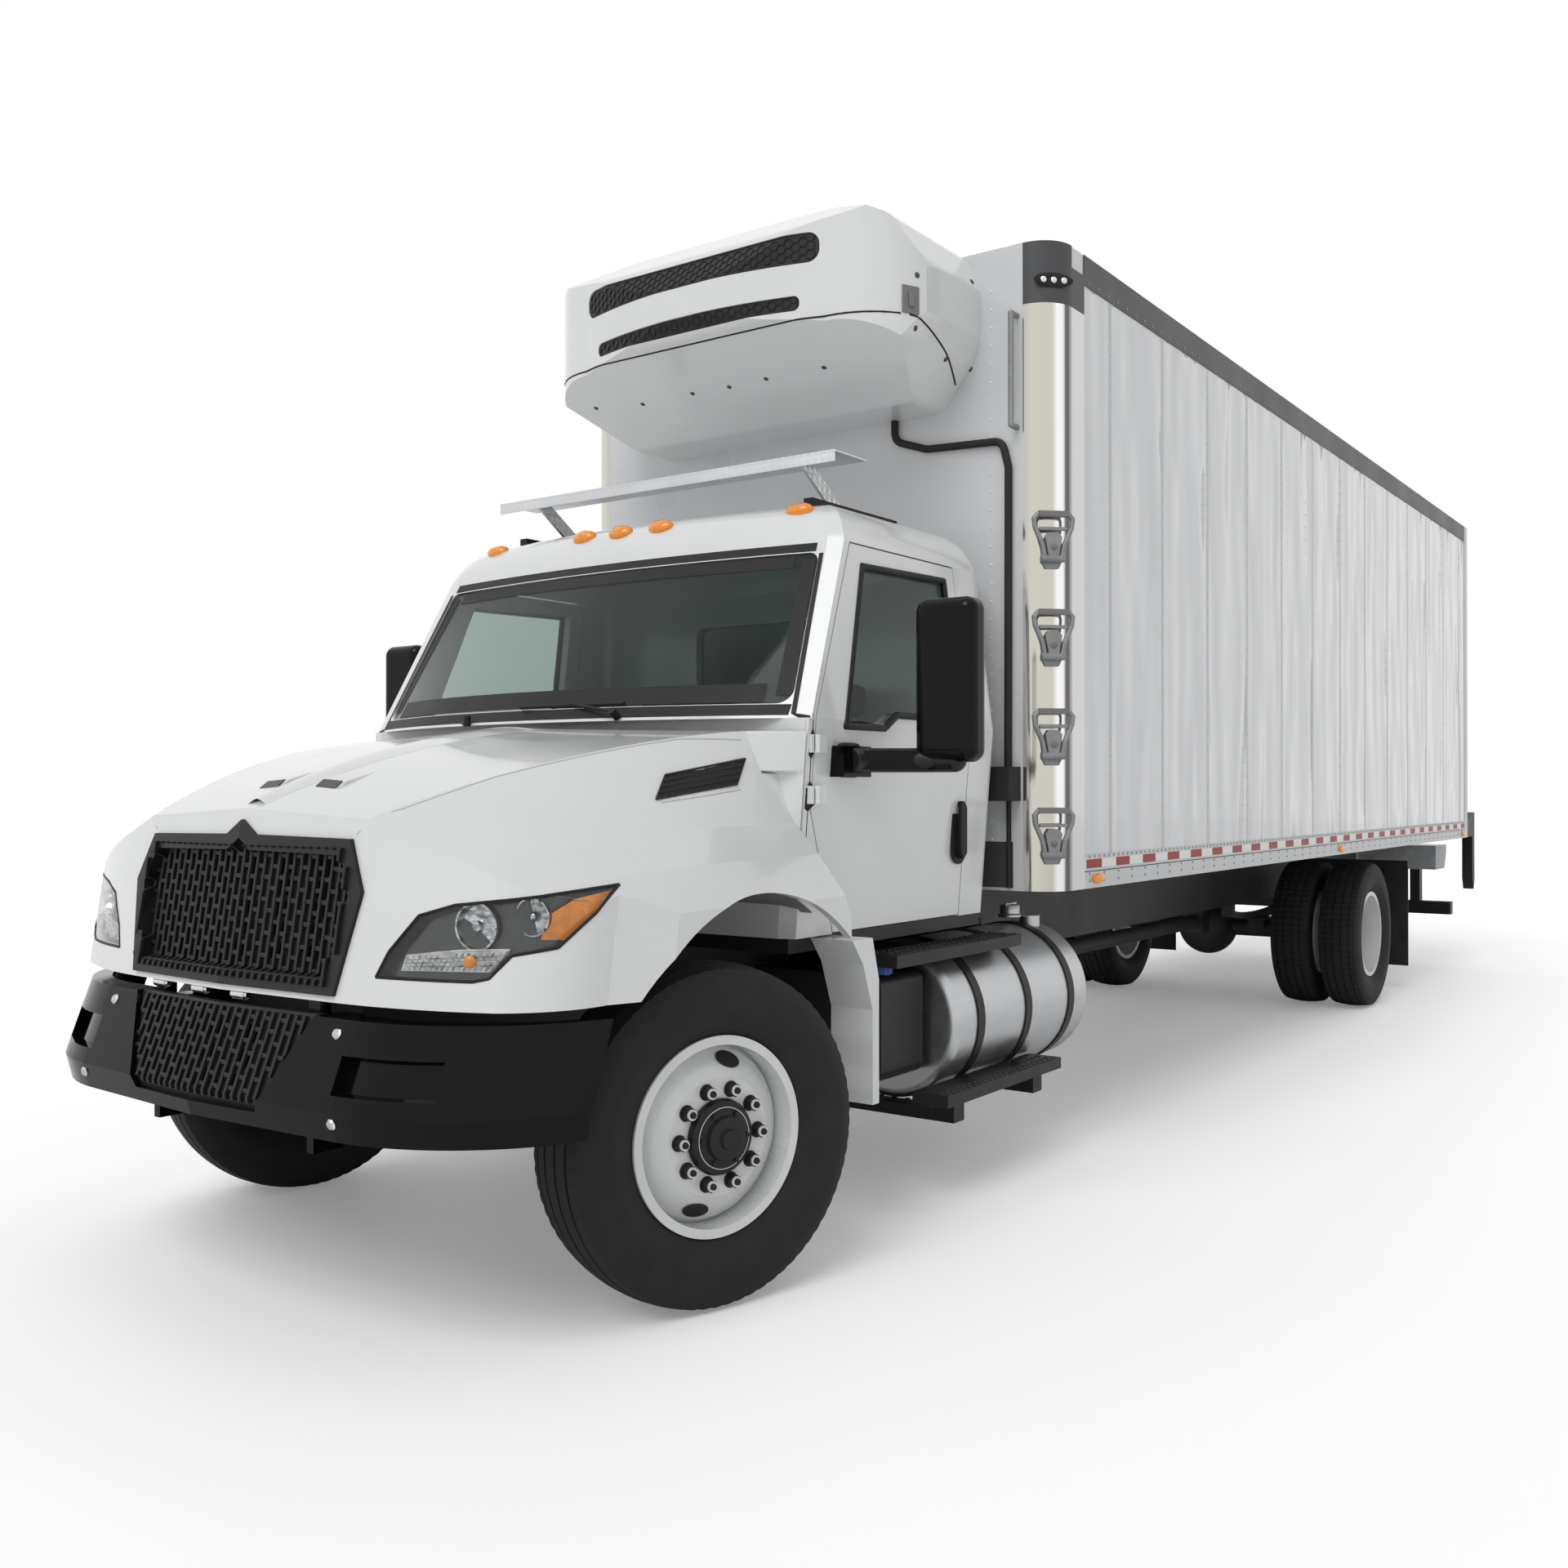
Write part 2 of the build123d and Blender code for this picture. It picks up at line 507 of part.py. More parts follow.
REAR_WINDOW_REACH = (CAB_BACK - 50.0, CAB_BACK + 300.0)
COWL_THICK = 45.0
COWL_REAR = -470.0

lower_outer = cab_block(CAB_LOWER, 0.0)
upper_outer = cab_block(CAB_UPPER, 0.0)
shell = (lower_outer - cab_block(CAB_LOWER, CAB_WALL)) + (upper_outer - cab_block(CAB_UPPER, CAB_WALL))
glass_skin = cab_block(CAB_UPPER, GLASS_INSET) - cab_block(CAB_UPPER, GLASS_INSET + GLASS_THICK)
screen_hole = front_prism(WINDSCREEN, WINDSCREEN_REACH)
rear_hole = front_prism(REAR_WINDOW, REAR_WINDOW_REACH)

# Windscreen and rear window
with BuildPart() as cab_glass:
    add(glass_skin & screen_hole)
    add(glass_skin & rear_hole)
save(cab_glass.part, "cab_glass")

# Front of the cab: firewall, cowl plate, windscreen surround and pillars. Back: rear wall and pillars.
FRAME_SPLIT = FX - 1100.0
cowl_slab = Pos(FX + COWL_REAR + 500.0, 0, BELT_Z + COWL_THICK / 2) * Box(1000.0, 2 * CAB_HALF_BELT,
                                                                          COWL_THICK)
with BuildPart() as cab_frame:
    add(shell)
    for side in (1, -1):
        add(side_prism(DOOR_OUTLINE, side, SEAM_GAP), mode=Mode.SUBTRACT)
    add(screen_hole, mode=Mode.SUBTRACT)
    add(rear_hole, mode=Mode.SUBTRACT)
HINGE_X = FX + DOOR_FRONT + SEAM_GAP / 2
HINGE_Y = 1112.0
HINGE_RADIUS = 12.0
HINGE_ROOT = 1068.0
HINGE_PROUD = 6.0
HINGE_LEAF_FRONT = 30.0
HINGE_LEAF_DOOR = 48.0
HINGE_SPANS = [(1500.0, 1560.0), (1670.0, 1730.0)]
with BuildPart() as cab_front:
    add(cab_frame.part)
    split(bisect_by=Plane.YZ.offset(FRAME_SPLIT), keep=Keep.TOP)
    add(upper_outer & cowl_slab)
    # Door hinge barrels, each on a leaf
    for side in (1, -1):
        leaf = sorted((side * HINGE_ROOT, side * HINGE_Y))
        for span in HINGE_SPANS:
            block((HINGE_X + SEAM_GAP / 2, HINGE_X + HINGE_LEAF_FRONT), leaf, span)
            bar_z(HINGE_X, side * HINGE_Y, HINGE_RADIUS, span)
save(cab_front.part, "cab_front")
with BuildPart() as cab_back_wall:
    add(cab_frame.part)
    split(bisect_by=Plane.YZ.offset(FRAME_SPLIT), keep=Keep.BOTTOM)
save(cab_back_wall.part, "cab_back_wall")

# Roof: a crowned shell that sits on the frame
with BuildPart() as cab_roof:
    add(cab_block(CAB_CROWN, 0.0))
    add(cab_block(CAB_CROWN[:2], CAB_WALL), mode=Mode.SUBTRACT)
save(cab_roof.part, "cab_roof")

# Floor pan with the sills under the doors
with BuildPart() as cab_floor:
    block((CAB_BACK + 40.0, FX - 445.0), (-CAB_HALF_SILL + 20.0, CAB_HALF_SILL - 20.0),
          (CAB_SILL, CAB_BOTTOM))
save(cab_floor.part, "cab_floor")

# Doors, with the window cut, and the glass
for side, name in ((1, "left"), (-1, "right")):
    window = side_prism(SIDE_WINDOW, side)
    with BuildPart() as door:
        add(shell & side_prism(DOOR_OUTLINE, side))
        add(window, mode=Mode.SUBTRACT)
        leaf = sorted((side * HINGE_ROOT, side * (HINGE_Y + HINGE_PROUD)))
        for low, high in HINGE_SPANS:
            block((HINGE_X - HINGE_LEAF_DOOR, HINGE_X - SEAM_GAP / 2), leaf, (low, high))
            relief = (low - FIT_GAP, high + FIT_GAP)
            bar_z(HINGE_X, side * HINGE_Y, HINGE_RADIUS + FIT_GAP, relief, Mode.SUBTRACT)
    save(door.part, f"door_{name}")
    with BuildPart() as door_glass:
        add(glass_skin & window)
    save(door_glass.part, f"door_glass_{name}")

# Hood: half sections across the truck, each a run of straight edges from the middle down to the fender edge.
# Columns: X ahead of the axle, middle Z, then (Y, Z) of the shoulder, the hood side, the fender crown
# and the fender's outer face.
HOOD_SECTIONS = [
    (-600.0, 1790.0, (975.0, 1750.0), (1085.0, 1440.0), (1140.0, 1335.0), (FENDER_HALF, 1200.0)),
    (100.0, 1732.0, (850.0, 1690.0), (1040.0, 1425.0), (1128.0, 1325.0), (FENDER_HALF, 1200.0)),
    (520.0, 1632.0, (690.0, 1592.0), (985.0, 1390.0), (1095.0, 1300.0), (FENDER_HALF, 1190.0)),
    (1010.0, 1440.0, (470.0, 1405.0), (820.0, 1290.0), (980.0, 1215.0), (FENDER_HALF - 45.0, 1110.0)),
]
# Hood front in plan: (setback behind the nose, Y) from the middle to the fender
NOSE_MIDDLE = (0.0, 0.0)
NOSE_GRILLE = (25.0, 500.0)
NOSE_LAMP = (70.0, 780.0)
NOSE_TURN = (150.0, 1000.0)
NOSE_CORNER = (235.0, 1085.0)
NOSE_CHEEK = (430.0, 1140.0)
NOSE_FENDER = (640.0, FENDER_HALF + 10.0)
NOSE_TAIL = 3000.0
HOOD_REAR = -408.0
HOOD_REAR_MIDDLE = -165.0
COWL_CUT_Z = 1600.0
HOOD_REAR_EDGE = [(HOOD_REAR, 2200.0), (HOOD_REAR, 1480.0), (-565.0, 1115.0), (-565.0, 600.0),
                  (-1200.0, 600.0),
                  (-1200.0, 2200.0)]


def hood_block(inset):
    """Loft the hood and fenders from their cross-sections, drawn inset by a wall."""
    sections = []
    for place, middle, *edge in HOOD_SECTIONS:
        low = HOOD_BOTTOM - (0.0 if inset == 0 else 50.0)
        half = [(y - inset, z - inset * 0.6) for y, z in edge]
        points = [(0.0, middle - inset)] + half + [(half[-1][0], low)]
        outline = points + [(-y, z) for y, z in reversed(points[1:])]
        with BuildSketch(Plane.YZ.offset(FX + place)) as section:
            with BuildLine():
                Polyline(*outline, close=True)
            make_face()
        sections.append(section.sketch)
    return loft(sections, mode=Mode.PRIVATE)


def nose_block(inset):
    """The raked front envelope of the hood, lofted between a low and a high plan outline."""
    sections = []
    for height in (HOOD_BOTTOM - 100.0, BELT_Z + 100.0):
        nose = NOSE_X - NOSE_RAKE * (height - HOOD_BOTTOM) - inset
        wide = inset * 0.9

        def place(spot, side):
            return (nose - spot[0], side * max(spot[1] - wide * spot[1] / FENDER_HALF, 0.0))

        with BuildSketch(Plane.XY.offset(height)) as section:
            with BuildLine():
                for side in (1, -1):
                    Line(place(NOSE_MIDDLE, side), place(NOSE_GRILLE, side))
                    ThreePointArc(place(NOSE_GRILLE, side), place(NOSE_LAMP, side), place(NOSE_TURN, side))
                    ThreePointArc(place(NOSE_TURN, side), place(NOSE_CORNER, side), place(NOSE_CHEEK, side))
                    Line(place(NOSE_CHEEK, side), place(NOSE_FENDER, side))
                    Line(place(NOSE_FENDER, side), place((NOSE_TAIL, NOSE_FENDER[1]), side))
                Line(place((NOSE_TAIL, NOSE_FENDER[1]), 1), place((NOSE_TAIL, NOSE_FENDER[1]), -1))
            make_face()
        sections.append(section.sketch)
    return loft(sections, ruled=True, mode=Mode.PRIVATE)


# Grille and headlamp outlines. Grille: (Y, Z) of one half. Lamp: (run across its face, Z) seen square on.
GRILLE_HALF = [(0.0, 1460.0), (70.0, 1416.0), (490.0, 1410.0), (560.0, 1265.0), (500.0, 980.0)]
LAMP_BEARING = 36.0
LAMP_OUTLINE = [(-26.0, 1040.0), (11.0, 1110.0), (97.0, 1209.0), (203.0, 1240.0), (623.0, 1285.0),
                (572.0, 1215.0),
                (480.0, 1128.0), (363.0, 1110.0), (304.0, 1050.0), (258.0, 1040.0)]
LAMP_DEPTH = 60.0
LAMP_REACH = (700.0, 1500.0)
POCKET_GAP = FIT_GAP
GRILLE_PROUD = 12.0
GRILLE_DEPTH = 50.0
GRILLE_BORDER = 46.0
GRILLE_RECESS = 26.0
SLOT_PITCH = 42.0
SLOT_WIDTH = 20.0
SLOT_ROWS = 5
SLOT_REACH = 0.80


def grille_prism(grow, reach):
    """The grille outline seen from the front, grown or shrunk, extruded along X over the reach."""
    points = GRILLE_HALF + [(-y, z) for y, z in reversed(GRILLE_HALF[1:])]
    with BuildSketch(Plane.YZ.offset(reach[0])) as outline:
        with BuildLine():
            Polyline(*points, close=True)
        make_face()
        if grow:
            offset(amount=grow, kind=Kind.INTERSECTION)
    return extrude(outline.sketch, amount=reach[1] - reach[0], mode=Mode.PRIVATE)


def lamp_prism(grow):
    """The left headlamp outline, seen square on from the front corner, extruded along that line of sight."""
    bearing = radians(LAMP_BEARING)
    sight = Vector(cos(bearing), sin(bearing), 0)
    plane = Plane(Vector(FX, 0, 0) + sight * LAMP_REACH[0], x_dir=(-sin(bearing), cos(bearing), 0),
                  z_dir=sight)
    with BuildSketch(plane) as outline:
        with BuildLine():
            Polyline(*LAMP_OUTLINE, close=True)
        make_face()
        if grow:
            offset(amount=grow, kind=Kind.INTERSECTION)
    return extrude(outline.sketch, amount=LAMP_REACH[1] - LAMP_REACH[0], mode=Mode.PRIVATE)


GRILLE_SPAN = (FX + 700.0, FX + 1100.0)
hood_outer = hood_block(0.0)
nose_outer = nose_block(0.0)
hood_form = hood_outer & nose_outer
lamp_left = lamp_prism(0.0)
pocket_left = lamp_prism(POCKET_GAP)

# Hood shell with its fenders, wheel arches, grille opening and lamp pockets
with BuildPart() as hood_shell:
    add(hood_form)
    add(hood_block(HOOD_WALL) & nose_block(HOOD_WALL), mode=Mode.SUBTRACT)
    with BuildSketch(Plane.XZ.offset(-2 * FENDER_HALF)):
        with BuildLine():
            Polyline(*[(FX + x, z) for x, z in HOOD_REAR_EDGE], close=True)
        make_face()
    extrude(amount=4 * FENDER_HALF, mode=Mode.SUBTRACT)
    bar_y(ARCH_X, ARCH_Z, ARCH_RADIUS, (-2 * FENDER_HALF, 2 * FENDER_HALF), Mode.SUBTRACT)
    with BuildSketch(Plane.XY.offset(COWL_CUT_Z)):
        with BuildLine():
            ThreePointArc((FX + HOOD_REAR, -FENDER_HALF), (FX + HOOD_REAR_MIDDLE, 0),
                          (FX + HOOD_REAR, FENDER_HALF))
            Polyline((FX + HOOD_REAR, FENDER_HALF), (FX - 800.0, FENDER_HALF), (FX - 800.0, -FENDER_HALF),
                     (FX + HOOD_REAR, -FENDER_HALF))
        make_face()
    extrude(amount=600.0, mode=Mode.SUBTRACT)
    add(grille_prism(POCKET_GAP, GRILLE_SPAN), mode=Mode.SUBTRACT)
    add(pocket_left, mode=Mode.SUBTRACT)
    add(mirror(pocket_left, about=Plane.XZ), mode=Mode.SUBTRACT)
save(hood_shell.part, "hood_shell")

# Grille: a shallow V plate with a raised border and rows of upright slots
with BuildPart() as hood_grille:
    add(grille_prism(0.0, GRILLE_SPAN) & nose_block(-GRILLE_PROUD))
    add(nose_block(GRILLE_DEPTH), mode=Mode.SUBTRACT)
    field = grille_prism(-GRILLE_BORDER, GRILLE_SPAN)
    add(field & (nose_block(-2 * GRILLE_PROUD) - nose_block(GRILLE_RECESS)), mode=Mode.SUBTRACT)
    low = GRILLE_HALF[-1][1] + 1.6 * GRILLE_BORDER
    columns = int(GRILLE_HALF[-1][0] / SLOT_PITCH)
    with BuildSketch(Plane.YZ.offset(GRILLE_SPAN[0])):
        for column in range(-columns + 1, columns):
            y = column * SLOT_PITCH
            high = 1400.0 - GRILLE_BORDER - (20.0 if abs(y) > 400.0 else 0.0)
            row_height = (high - low) / SLOT_ROWS
            for row in range(SLOT_ROWS):
                with Locations((y, low + (row + 0.5) * row_height)):
                    SlotOverall(row_height * SLOT_REACH, SLOT_WIDTH, rotation=90)
    extrude(amount=GRILLE_SPAN[1] - GRILLE_SPAN[0], mode=Mode.SUBTRACT)
save(hood_grille.part, "hood_grille")

# Headlamps: one wrapped lens block in each pocket
with BuildPart() as headlamps:
    lamp = (hood_form & lamp_left) - (hood_block(LAMP_DEPTH) & nose_block(LAMP_DEPTH))
    add(lamp)
    add(mirror(lamp, about=Plane.XZ))
save(headlamps.part, "headlamps")

# Splash panels behind the front wheels, bolted to the cab floor
SPLASH_OUTLINE = [(-575.0, 1044.0), (-700.0, 1044.0), (-740.0, 900.0), (-740.0, 477.0), (-700.0, 477.0),
                  (-700.0, 800.0), (-640.0, 960.0)]
with BuildPart() as splash_panels:
    for side in (1, -1):
        span = sorted((side * (CAB_HALF_SILL - 20.0), side * (FENDER_HALF - 5.0)))
        outline_xz([(FX + x, z) for x, z in SPLASH_OUTLINE], span)
save(splash_panels.part, "splash_panels")

# Front bumper: a swept band that leans forward towards its lower edge, with lamp recesses and an opening
# Columns: height, front middle ahead of the axle, end X ahead of the axle.
BUMPER_LEVELS = [(612.0, 1075.0, 640.0), (690.0, FRONT_OVERHANG, 620.0), (925.0, 1005.0, 535.0)]
BUMPER_END = 1150.0
BUMPER_THICK = 70.0
BUMPER_SHOULDER = 620.0
BUMPER_OPENING = [(-450.0, 935.0), (450.0, 935.0), (300.0, 655.0), (-300.0, 655.0)]
FOG_Y = (600.0, 900.0)
FOG_Z = (735.0, 835.0)
FOG_DEPTH = 40.0
BUMPER_ARM = 70.0
BUMPER_ARM_Z = (RAIL_BOTTOM + RAIL_WALL, 905.0)
ARM_BITE = 1.0
HOOD_POST_X = (FX + 898.0, FX + 936.0)
HOOD_POST_Y = (360.0, 410.0)
TOW_PLATE_X = (FX + 850.0, FX + 950.0)
TOW_PLATE_BOTTOM = 530.0
TOW_EYE_Y = (370.0, 400.0)
TOW_EYE_X = FX + 900.0
TOW_EYE_Z = 580.0
TOW_EYE_RADIUS = 20.0
BUMPER_SPAN = (FX + 300.0, FX + 1300.0)


def bumper_block(inset):
    """Loft the bumper's solid form from its plan sections, set back by an inset."""
    sections = []
    for height, middle, end in BUMPER_LEVELS:
        front = FX + middle - inset
        tail = FX + end
        reach = BUMPER_END - inset / 2
        with BuildSketch(Plane.XY.offset(height)) as section:
            with BuildLine():
                for side in (1, -1):
                    Line((front, 0), (front - 35.0, side * BUMPER_SHOULDER))
                    ThreePointArc((front - 35.0, side * BUMPER_SHOULDER), (front - 130.0, side * 900.0),
                                  (tail, side * reach))
                Line((tail, reach), (tail, -reach))
            make_face()
        sections.append(section.sketch)
    return loft(sections, ruled=True, mode=Mode.PRIVATE)


bumper_form = bumper_block(0.0)
with BuildSketch(Plane.YZ.offset(BUMPER_SPAN[0])) as bumper_gap:
    with BuildLine():
        Polyline(*BUMPER_OPENING, close=True)
    make_face()
bumper_window = extrude(bumper_gap.sketch, amount=BUMPER_SPAN[1] - BUMPER_SPAN[0], mode=Mode.PRIVATE)
with BuildPart() as front_bumper:
    add(bumper_form)
    add(bumper_block(BUMPER_THICK), mode=Mode.SUBTRACT)
    add(bumper_window, mode=Mode.SUBTRACT)
    for side in (1, -1):
        with Locations((FX + 900.0, side * (FOG_Y[0] + FOG_Y[1]) / 2, (FOG_Z[0] + FOG_Z[1]) / 2)):
            recess = Box(600.0, FOG_Y[1] - FOG_Y[0], FOG_Z[1] - FOG_Z[0], mode=Mode.PRIVATE)
        add(recess - bumper_block(FOG_DEPTH), mode=Mode.SUBTRACT)
    # Arms that carry the bumper on the rail ends
    for side in (1, -1):
        across = (RAIL_Y - RAIL_WALL - BUMPER_ARM / 2) * side
        with Locations(((RAIL_FRONT + FX + FRONT_OVERHANG) / 2, across,
                        (BUMPER_ARM_Z[0] + BUMPER_ARM_Z[1]) / 2)):
            arm = Box(FX + FRONT_OVERHANG - RAIL_FRONT, BUMPER_ARM, BUMPER_ARM_Z[1] - BUMPER_ARM_Z[0],
                      mode=Mode.PRIVATE)
        add(arm & bumper_block(BUMPER_THICK - ARM_BITE))
        # Post under the hood's hinge, and the tow eye below the arm
        post_y = sorted((side * HOOD_POST_Y[0], side * HOOD_POST_Y[1]))
        block(HOOD_POST_X, post_y, (BUMPER_ARM_Z[1] - ARM_BITE, HOOD_BOTTOM - FIT_GAP))
        eye_y = sorted((side * TOW_EYE_Y[0], side * TOW_EYE_Y[1]))
        block(TOW_PLATE_X, eye_y, (TOW_PLATE_BOTTOM, BUMPER_ARM_Z[0] + ARM_BITE))
        bar_y(TOW_EYE_X, TOW_EYE_Z, TOW_EYE_RADIUS, eye_y, Mode.SUBTRACT)
save(front_bumper.part, "front_bumper")

# Lower grille in the bumper: a slotted plate seated in the opening
INSERT_GAP = FIT_GAP
INSERT_SET = 20.0
INSERT_THICK = 24.0
INSERT_SLOT = 54.0
INSERT_ROW_Z = 722.0
INSERT_ROW_PITCH = 66.0
INSERT_COLUMNS = (4, 5, 6)
with BuildSketch(Plane.YZ.offset(BUMPER_SPAN[0])) as insert_outline:
    with BuildLine():
        Polyline(*BUMPER_OPENING, close=True)
    make_face()
    offset(amount=-INSERT_GAP, kind=Kind.INTERSECTION)
insert_prism = extrude(insert_outline.sketch, amount=BUMPER_SPAN[1] - BUMPER_SPAN[0], mode=Mode.PRIVATE)
with BuildPart() as bumper_grille:
    add(insert_prism & (bumper_block(INSERT_SET) - bumper_block(INSERT_SET + INSERT_THICK)))
    with BuildSketch(Plane.YZ.offset(BUMPER_SPAN[0])):
        for row, columns in enumerate(INSERT_COLUMNS):
            for column in range(-columns, columns + 1):
                with Locations((column * SLOT_PITCH, INSERT_ROW_Z + row * INSERT_ROW_PITCH)):
                    SlotOverall(INSERT_SLOT, SLOT_WIDTH, rotation=90)
    extrude(amount=BUMPER_SPAN[1] - BUMPER_SPAN[0], mode=Mode.SUBTRACT)
save(bumper_grille.part, "bumper_grille")


# Load box: insulated floor, walls, roof and rear frame, with rails along the edges
REAR_FRAME = 110.0
REAR_POST = 120.0
REAR_HEADER = 190.0
INNER_HALF = BOX_HALF - RAIL_SKIN - WALL
WALL_FRONT = BOX_FRONT - CORNER_RADIUS - CORNER_STRIP
WALL_REAR = BOX_REAR + REAR_FRAME
ROOF_BOTTOM = BOX_TOP - ROOF_THICK
CAP_HEIGHT = 255.0

with BuildPart() as box_floor:
    block((WALL_REAR, BOX_FRONT - FRONT_WALL), (-INNER_HALF, INNER_HALF), (BOX_BOTTOM, FLOOR_TOP))
save(box_floor.part, "box_floor")

with BuildPart() as box_side_walls:
    for side in (1, -1):
        span = sorted((side * INNER_HALF, side * (INNER_HALF + WALL)))
        block((WALL_REAR, WALL_FRONT), span, (BOX_BOTTOM, ROOF_BOTTOM))
save(box_side_walls.part, "box_side_walls")

# Front wall between the corner posts
POST_EDGE = BOX_HALF - CORNER_RADIUS
with BuildPart() as box_front_wall:
    block((BOX_FRONT - FRONT_WALL, BOX_FRONT), (-POST_EDGE, POST_EDGE), (BOX_BOTTOM, ROOF_BOTTOM))
save(box_front_wall.part, "box_front_wall")

with BuildPart() as box_roof:
    block((WALL_REAR, BOX_FRONT - CORNER_RADIUS), (-BOX_HALF + RAIL_SKIN, BOX_HALF - RAIL_SKIN),
          (ROOF_BOTTOM, BOX_TOP))
    block((BOX_FRONT - CORNER_RADIUS, BOX_FRONT), (-POST_EDGE, POST_EDGE), (ROOF_BOTTOM, BOX_TOP))
save(box_roof.part, "box_roof")


def post_plan(height):
    """Quarter-round corner post with its side strip, from the front wall round to the side wall."""
    start = (BOX_FRONT, POST_EDGE)
    knee = (BOX_FRONT - CORNER_RADIUS, POST_EDGE + CORNER_RADIUS)
    bow = CORNER_RADIUS * cos(pi / 4)
    with BuildSketch(Plane.XY.offset(height)) as plan:
        with BuildLine():
            ThreePointArc(start, (BOX_FRONT - CORNER_RADIUS + bow, POST_EDGE + bow), knee)
            Polyline(knee, (WALL_FRONT, knee[1]), (WALL_FRONT, INNER_HALF),
                     (BOX_FRONT - FRONT_WALL, INNER_HALF),
                     (BOX_FRONT - FRONT_WALL, POST_EDGE), start)
        make_face()
    return plan.sketch


# Bright corner posts
with BuildPart() as corner_posts:
    post = extrude(post_plan(BOX_BOTTOM), amount=BOX_TOP - CAP_HEIGHT - BOX_BOTTOM, mode=Mode.PRIVATE)
    add(post)
    add(mirror(post, about=Plane.XZ))
save(corner_posts.part, "corner_posts")

# Edge rails: outer skins along the bottom and top of both sides
with BuildPart() as box_bottom_rails:
    for side in (1, -1):
        span = sorted((side * (BOX_HALF - RAIL_SKIN), side * BOX_HALF))
        block((WALL_REAR, WALL_FRONT), span, (BOX_BOTTOM, BOTTOM_RAIL_TOP))
save(box_bottom_rails.part, "box_bottom_rails")

with BuildPart() as box_top_rails:
    for side in (1, -1):
        span = sorted((side * (BOX_HALF - RAIL_SKIN), side * BOX_HALF))
        block((WALL_REAR, WALL_FRONT), span, (BOX_TOP - TOP_RAIL_HEIGHT, BOX_TOP))
    # Grey caps over the corner posts
    cap = extrude(post_plan(BOX_TOP - CAP_HEIGHT), amount=CAP_HEIGHT - ROOF_THICK, mode=Mode.PRIVATE)
    add(cap)
    add(mirror(cap, about=Plane.XZ))
    for side in (1, -1):
        with BuildSketch(Plane.XY.offset(ROOF_BOTTOM)):
            with BuildLine():
                bow = CORNER_RADIUS * cos(pi / 4)
                corner = (BOX_FRONT - CORNER_RADIUS, side * POST_EDGE)
                ThreePointArc((BOX_FRONT, side * POST_EDGE), (corner[0] + bow, side * (POST_EDGE + bow)),
                              (corner[0], side * (POST_EDGE + CORNER_RADIUS)))
                Polyline((corner[0], side * (POST_EDGE + CORNER_RADIUS)), corner,
                         (BOX_FRONT, side * POST_EDGE))
            make_face()
        extrude(amount=ROOF_THICK)
save(box_top_rails.part, "box_top_rails")

# Rear frame and the slatted overhead door inside it
DOOR_SLATS = 8
DOOR_THICK = 45.0
DOOR_SET = 30.0
SLAT_GROOVE = 8.0
with BuildPart() as box_rear_frame:
    block((BOX_REAR, WALL_REAR), (-BOX_HALF, BOX_HALF), (BOX_BOTTOM, BOX_TOP))
    block((BOX_REAR, WALL_REAR), (-BOX_HALF + REAR_POST, BOX_HALF - REAR_POST),
          (FLOOR_TOP, BOX_TOP - REAR_HEADER),
          Mode.SUBTRACT)
save(box_rear_frame.part, "box_rear_frame")

with BuildPart() as rear_door:
    across = BOX_HALF - REAR_POST - FIT_GAP
    tall = (FLOOR_TOP + FIT_GAP, BOX_TOP - REAR_HEADER - FIT_GAP)
    face = BOX_REAR + DOOR_SET
    block((face, face + DOOR_THICK), (-across, across), tall)
    slat = (tall[1] - tall[0]) / DOOR_SLATS
    for row in range(1, DOOR_SLATS):
        joint = tall[0] + row * slat
        block((face, face + SLAT_GROOVE), (-across, across),
              (joint - SLAT_GROOVE / 2, joint + SLAT_GROOVE / 2),
              Mode.SUBTRACT)
    block((face - 22.0, face), (-60.0, 60.0), (tall[0] + 60.0, tall[0] + 260.0))
save(rear_door.part, "rear_door")

# Cooling unit: a domed case on the front wall, formed by its plan, front and side outlines
UNIT_HALF = 950.0
UNIT_NOSE = FX - 1130.0
UNIT_CHEEK = FX - 1235.0
UNIT_TOP = 3960.0
UNIT_BOTTOM = 3150.0
UNIT_SIDE = [(BOX_FRONT, UNIT_BOTTOM), (BOX_FRONT + 230.0, UNIT_BOTTOM + 5.0), (UNIT_NOSE - 30.0, 3425.0),
             (UNIT_NOSE, 3500.0), (UNIT_NOSE - 6.0, 3640.0), (UNIT_NOSE - 70.0, 3770.0),
             (UNIT_NOSE - 330.0, UNIT_TOP - 25.0),
             (UNIT_NOSE - 470.0, UNIT_TOP), (BOX_FRONT, UNIT_TOP - 90.0)]
UNIT_FRONT_HALF = [(0.0, UNIT_BOTTOM), (760.0, UNIT_BOTTOM), (910.0, 3330.0), (UNIT_HALF, 3430.0),
                   (UNIT_HALF, 3640.0),
                   (880.0, 3790.0), (560.0, 3915.0), (0.0, UNIT_TOP)]
UNIT_ROUND = 70.0


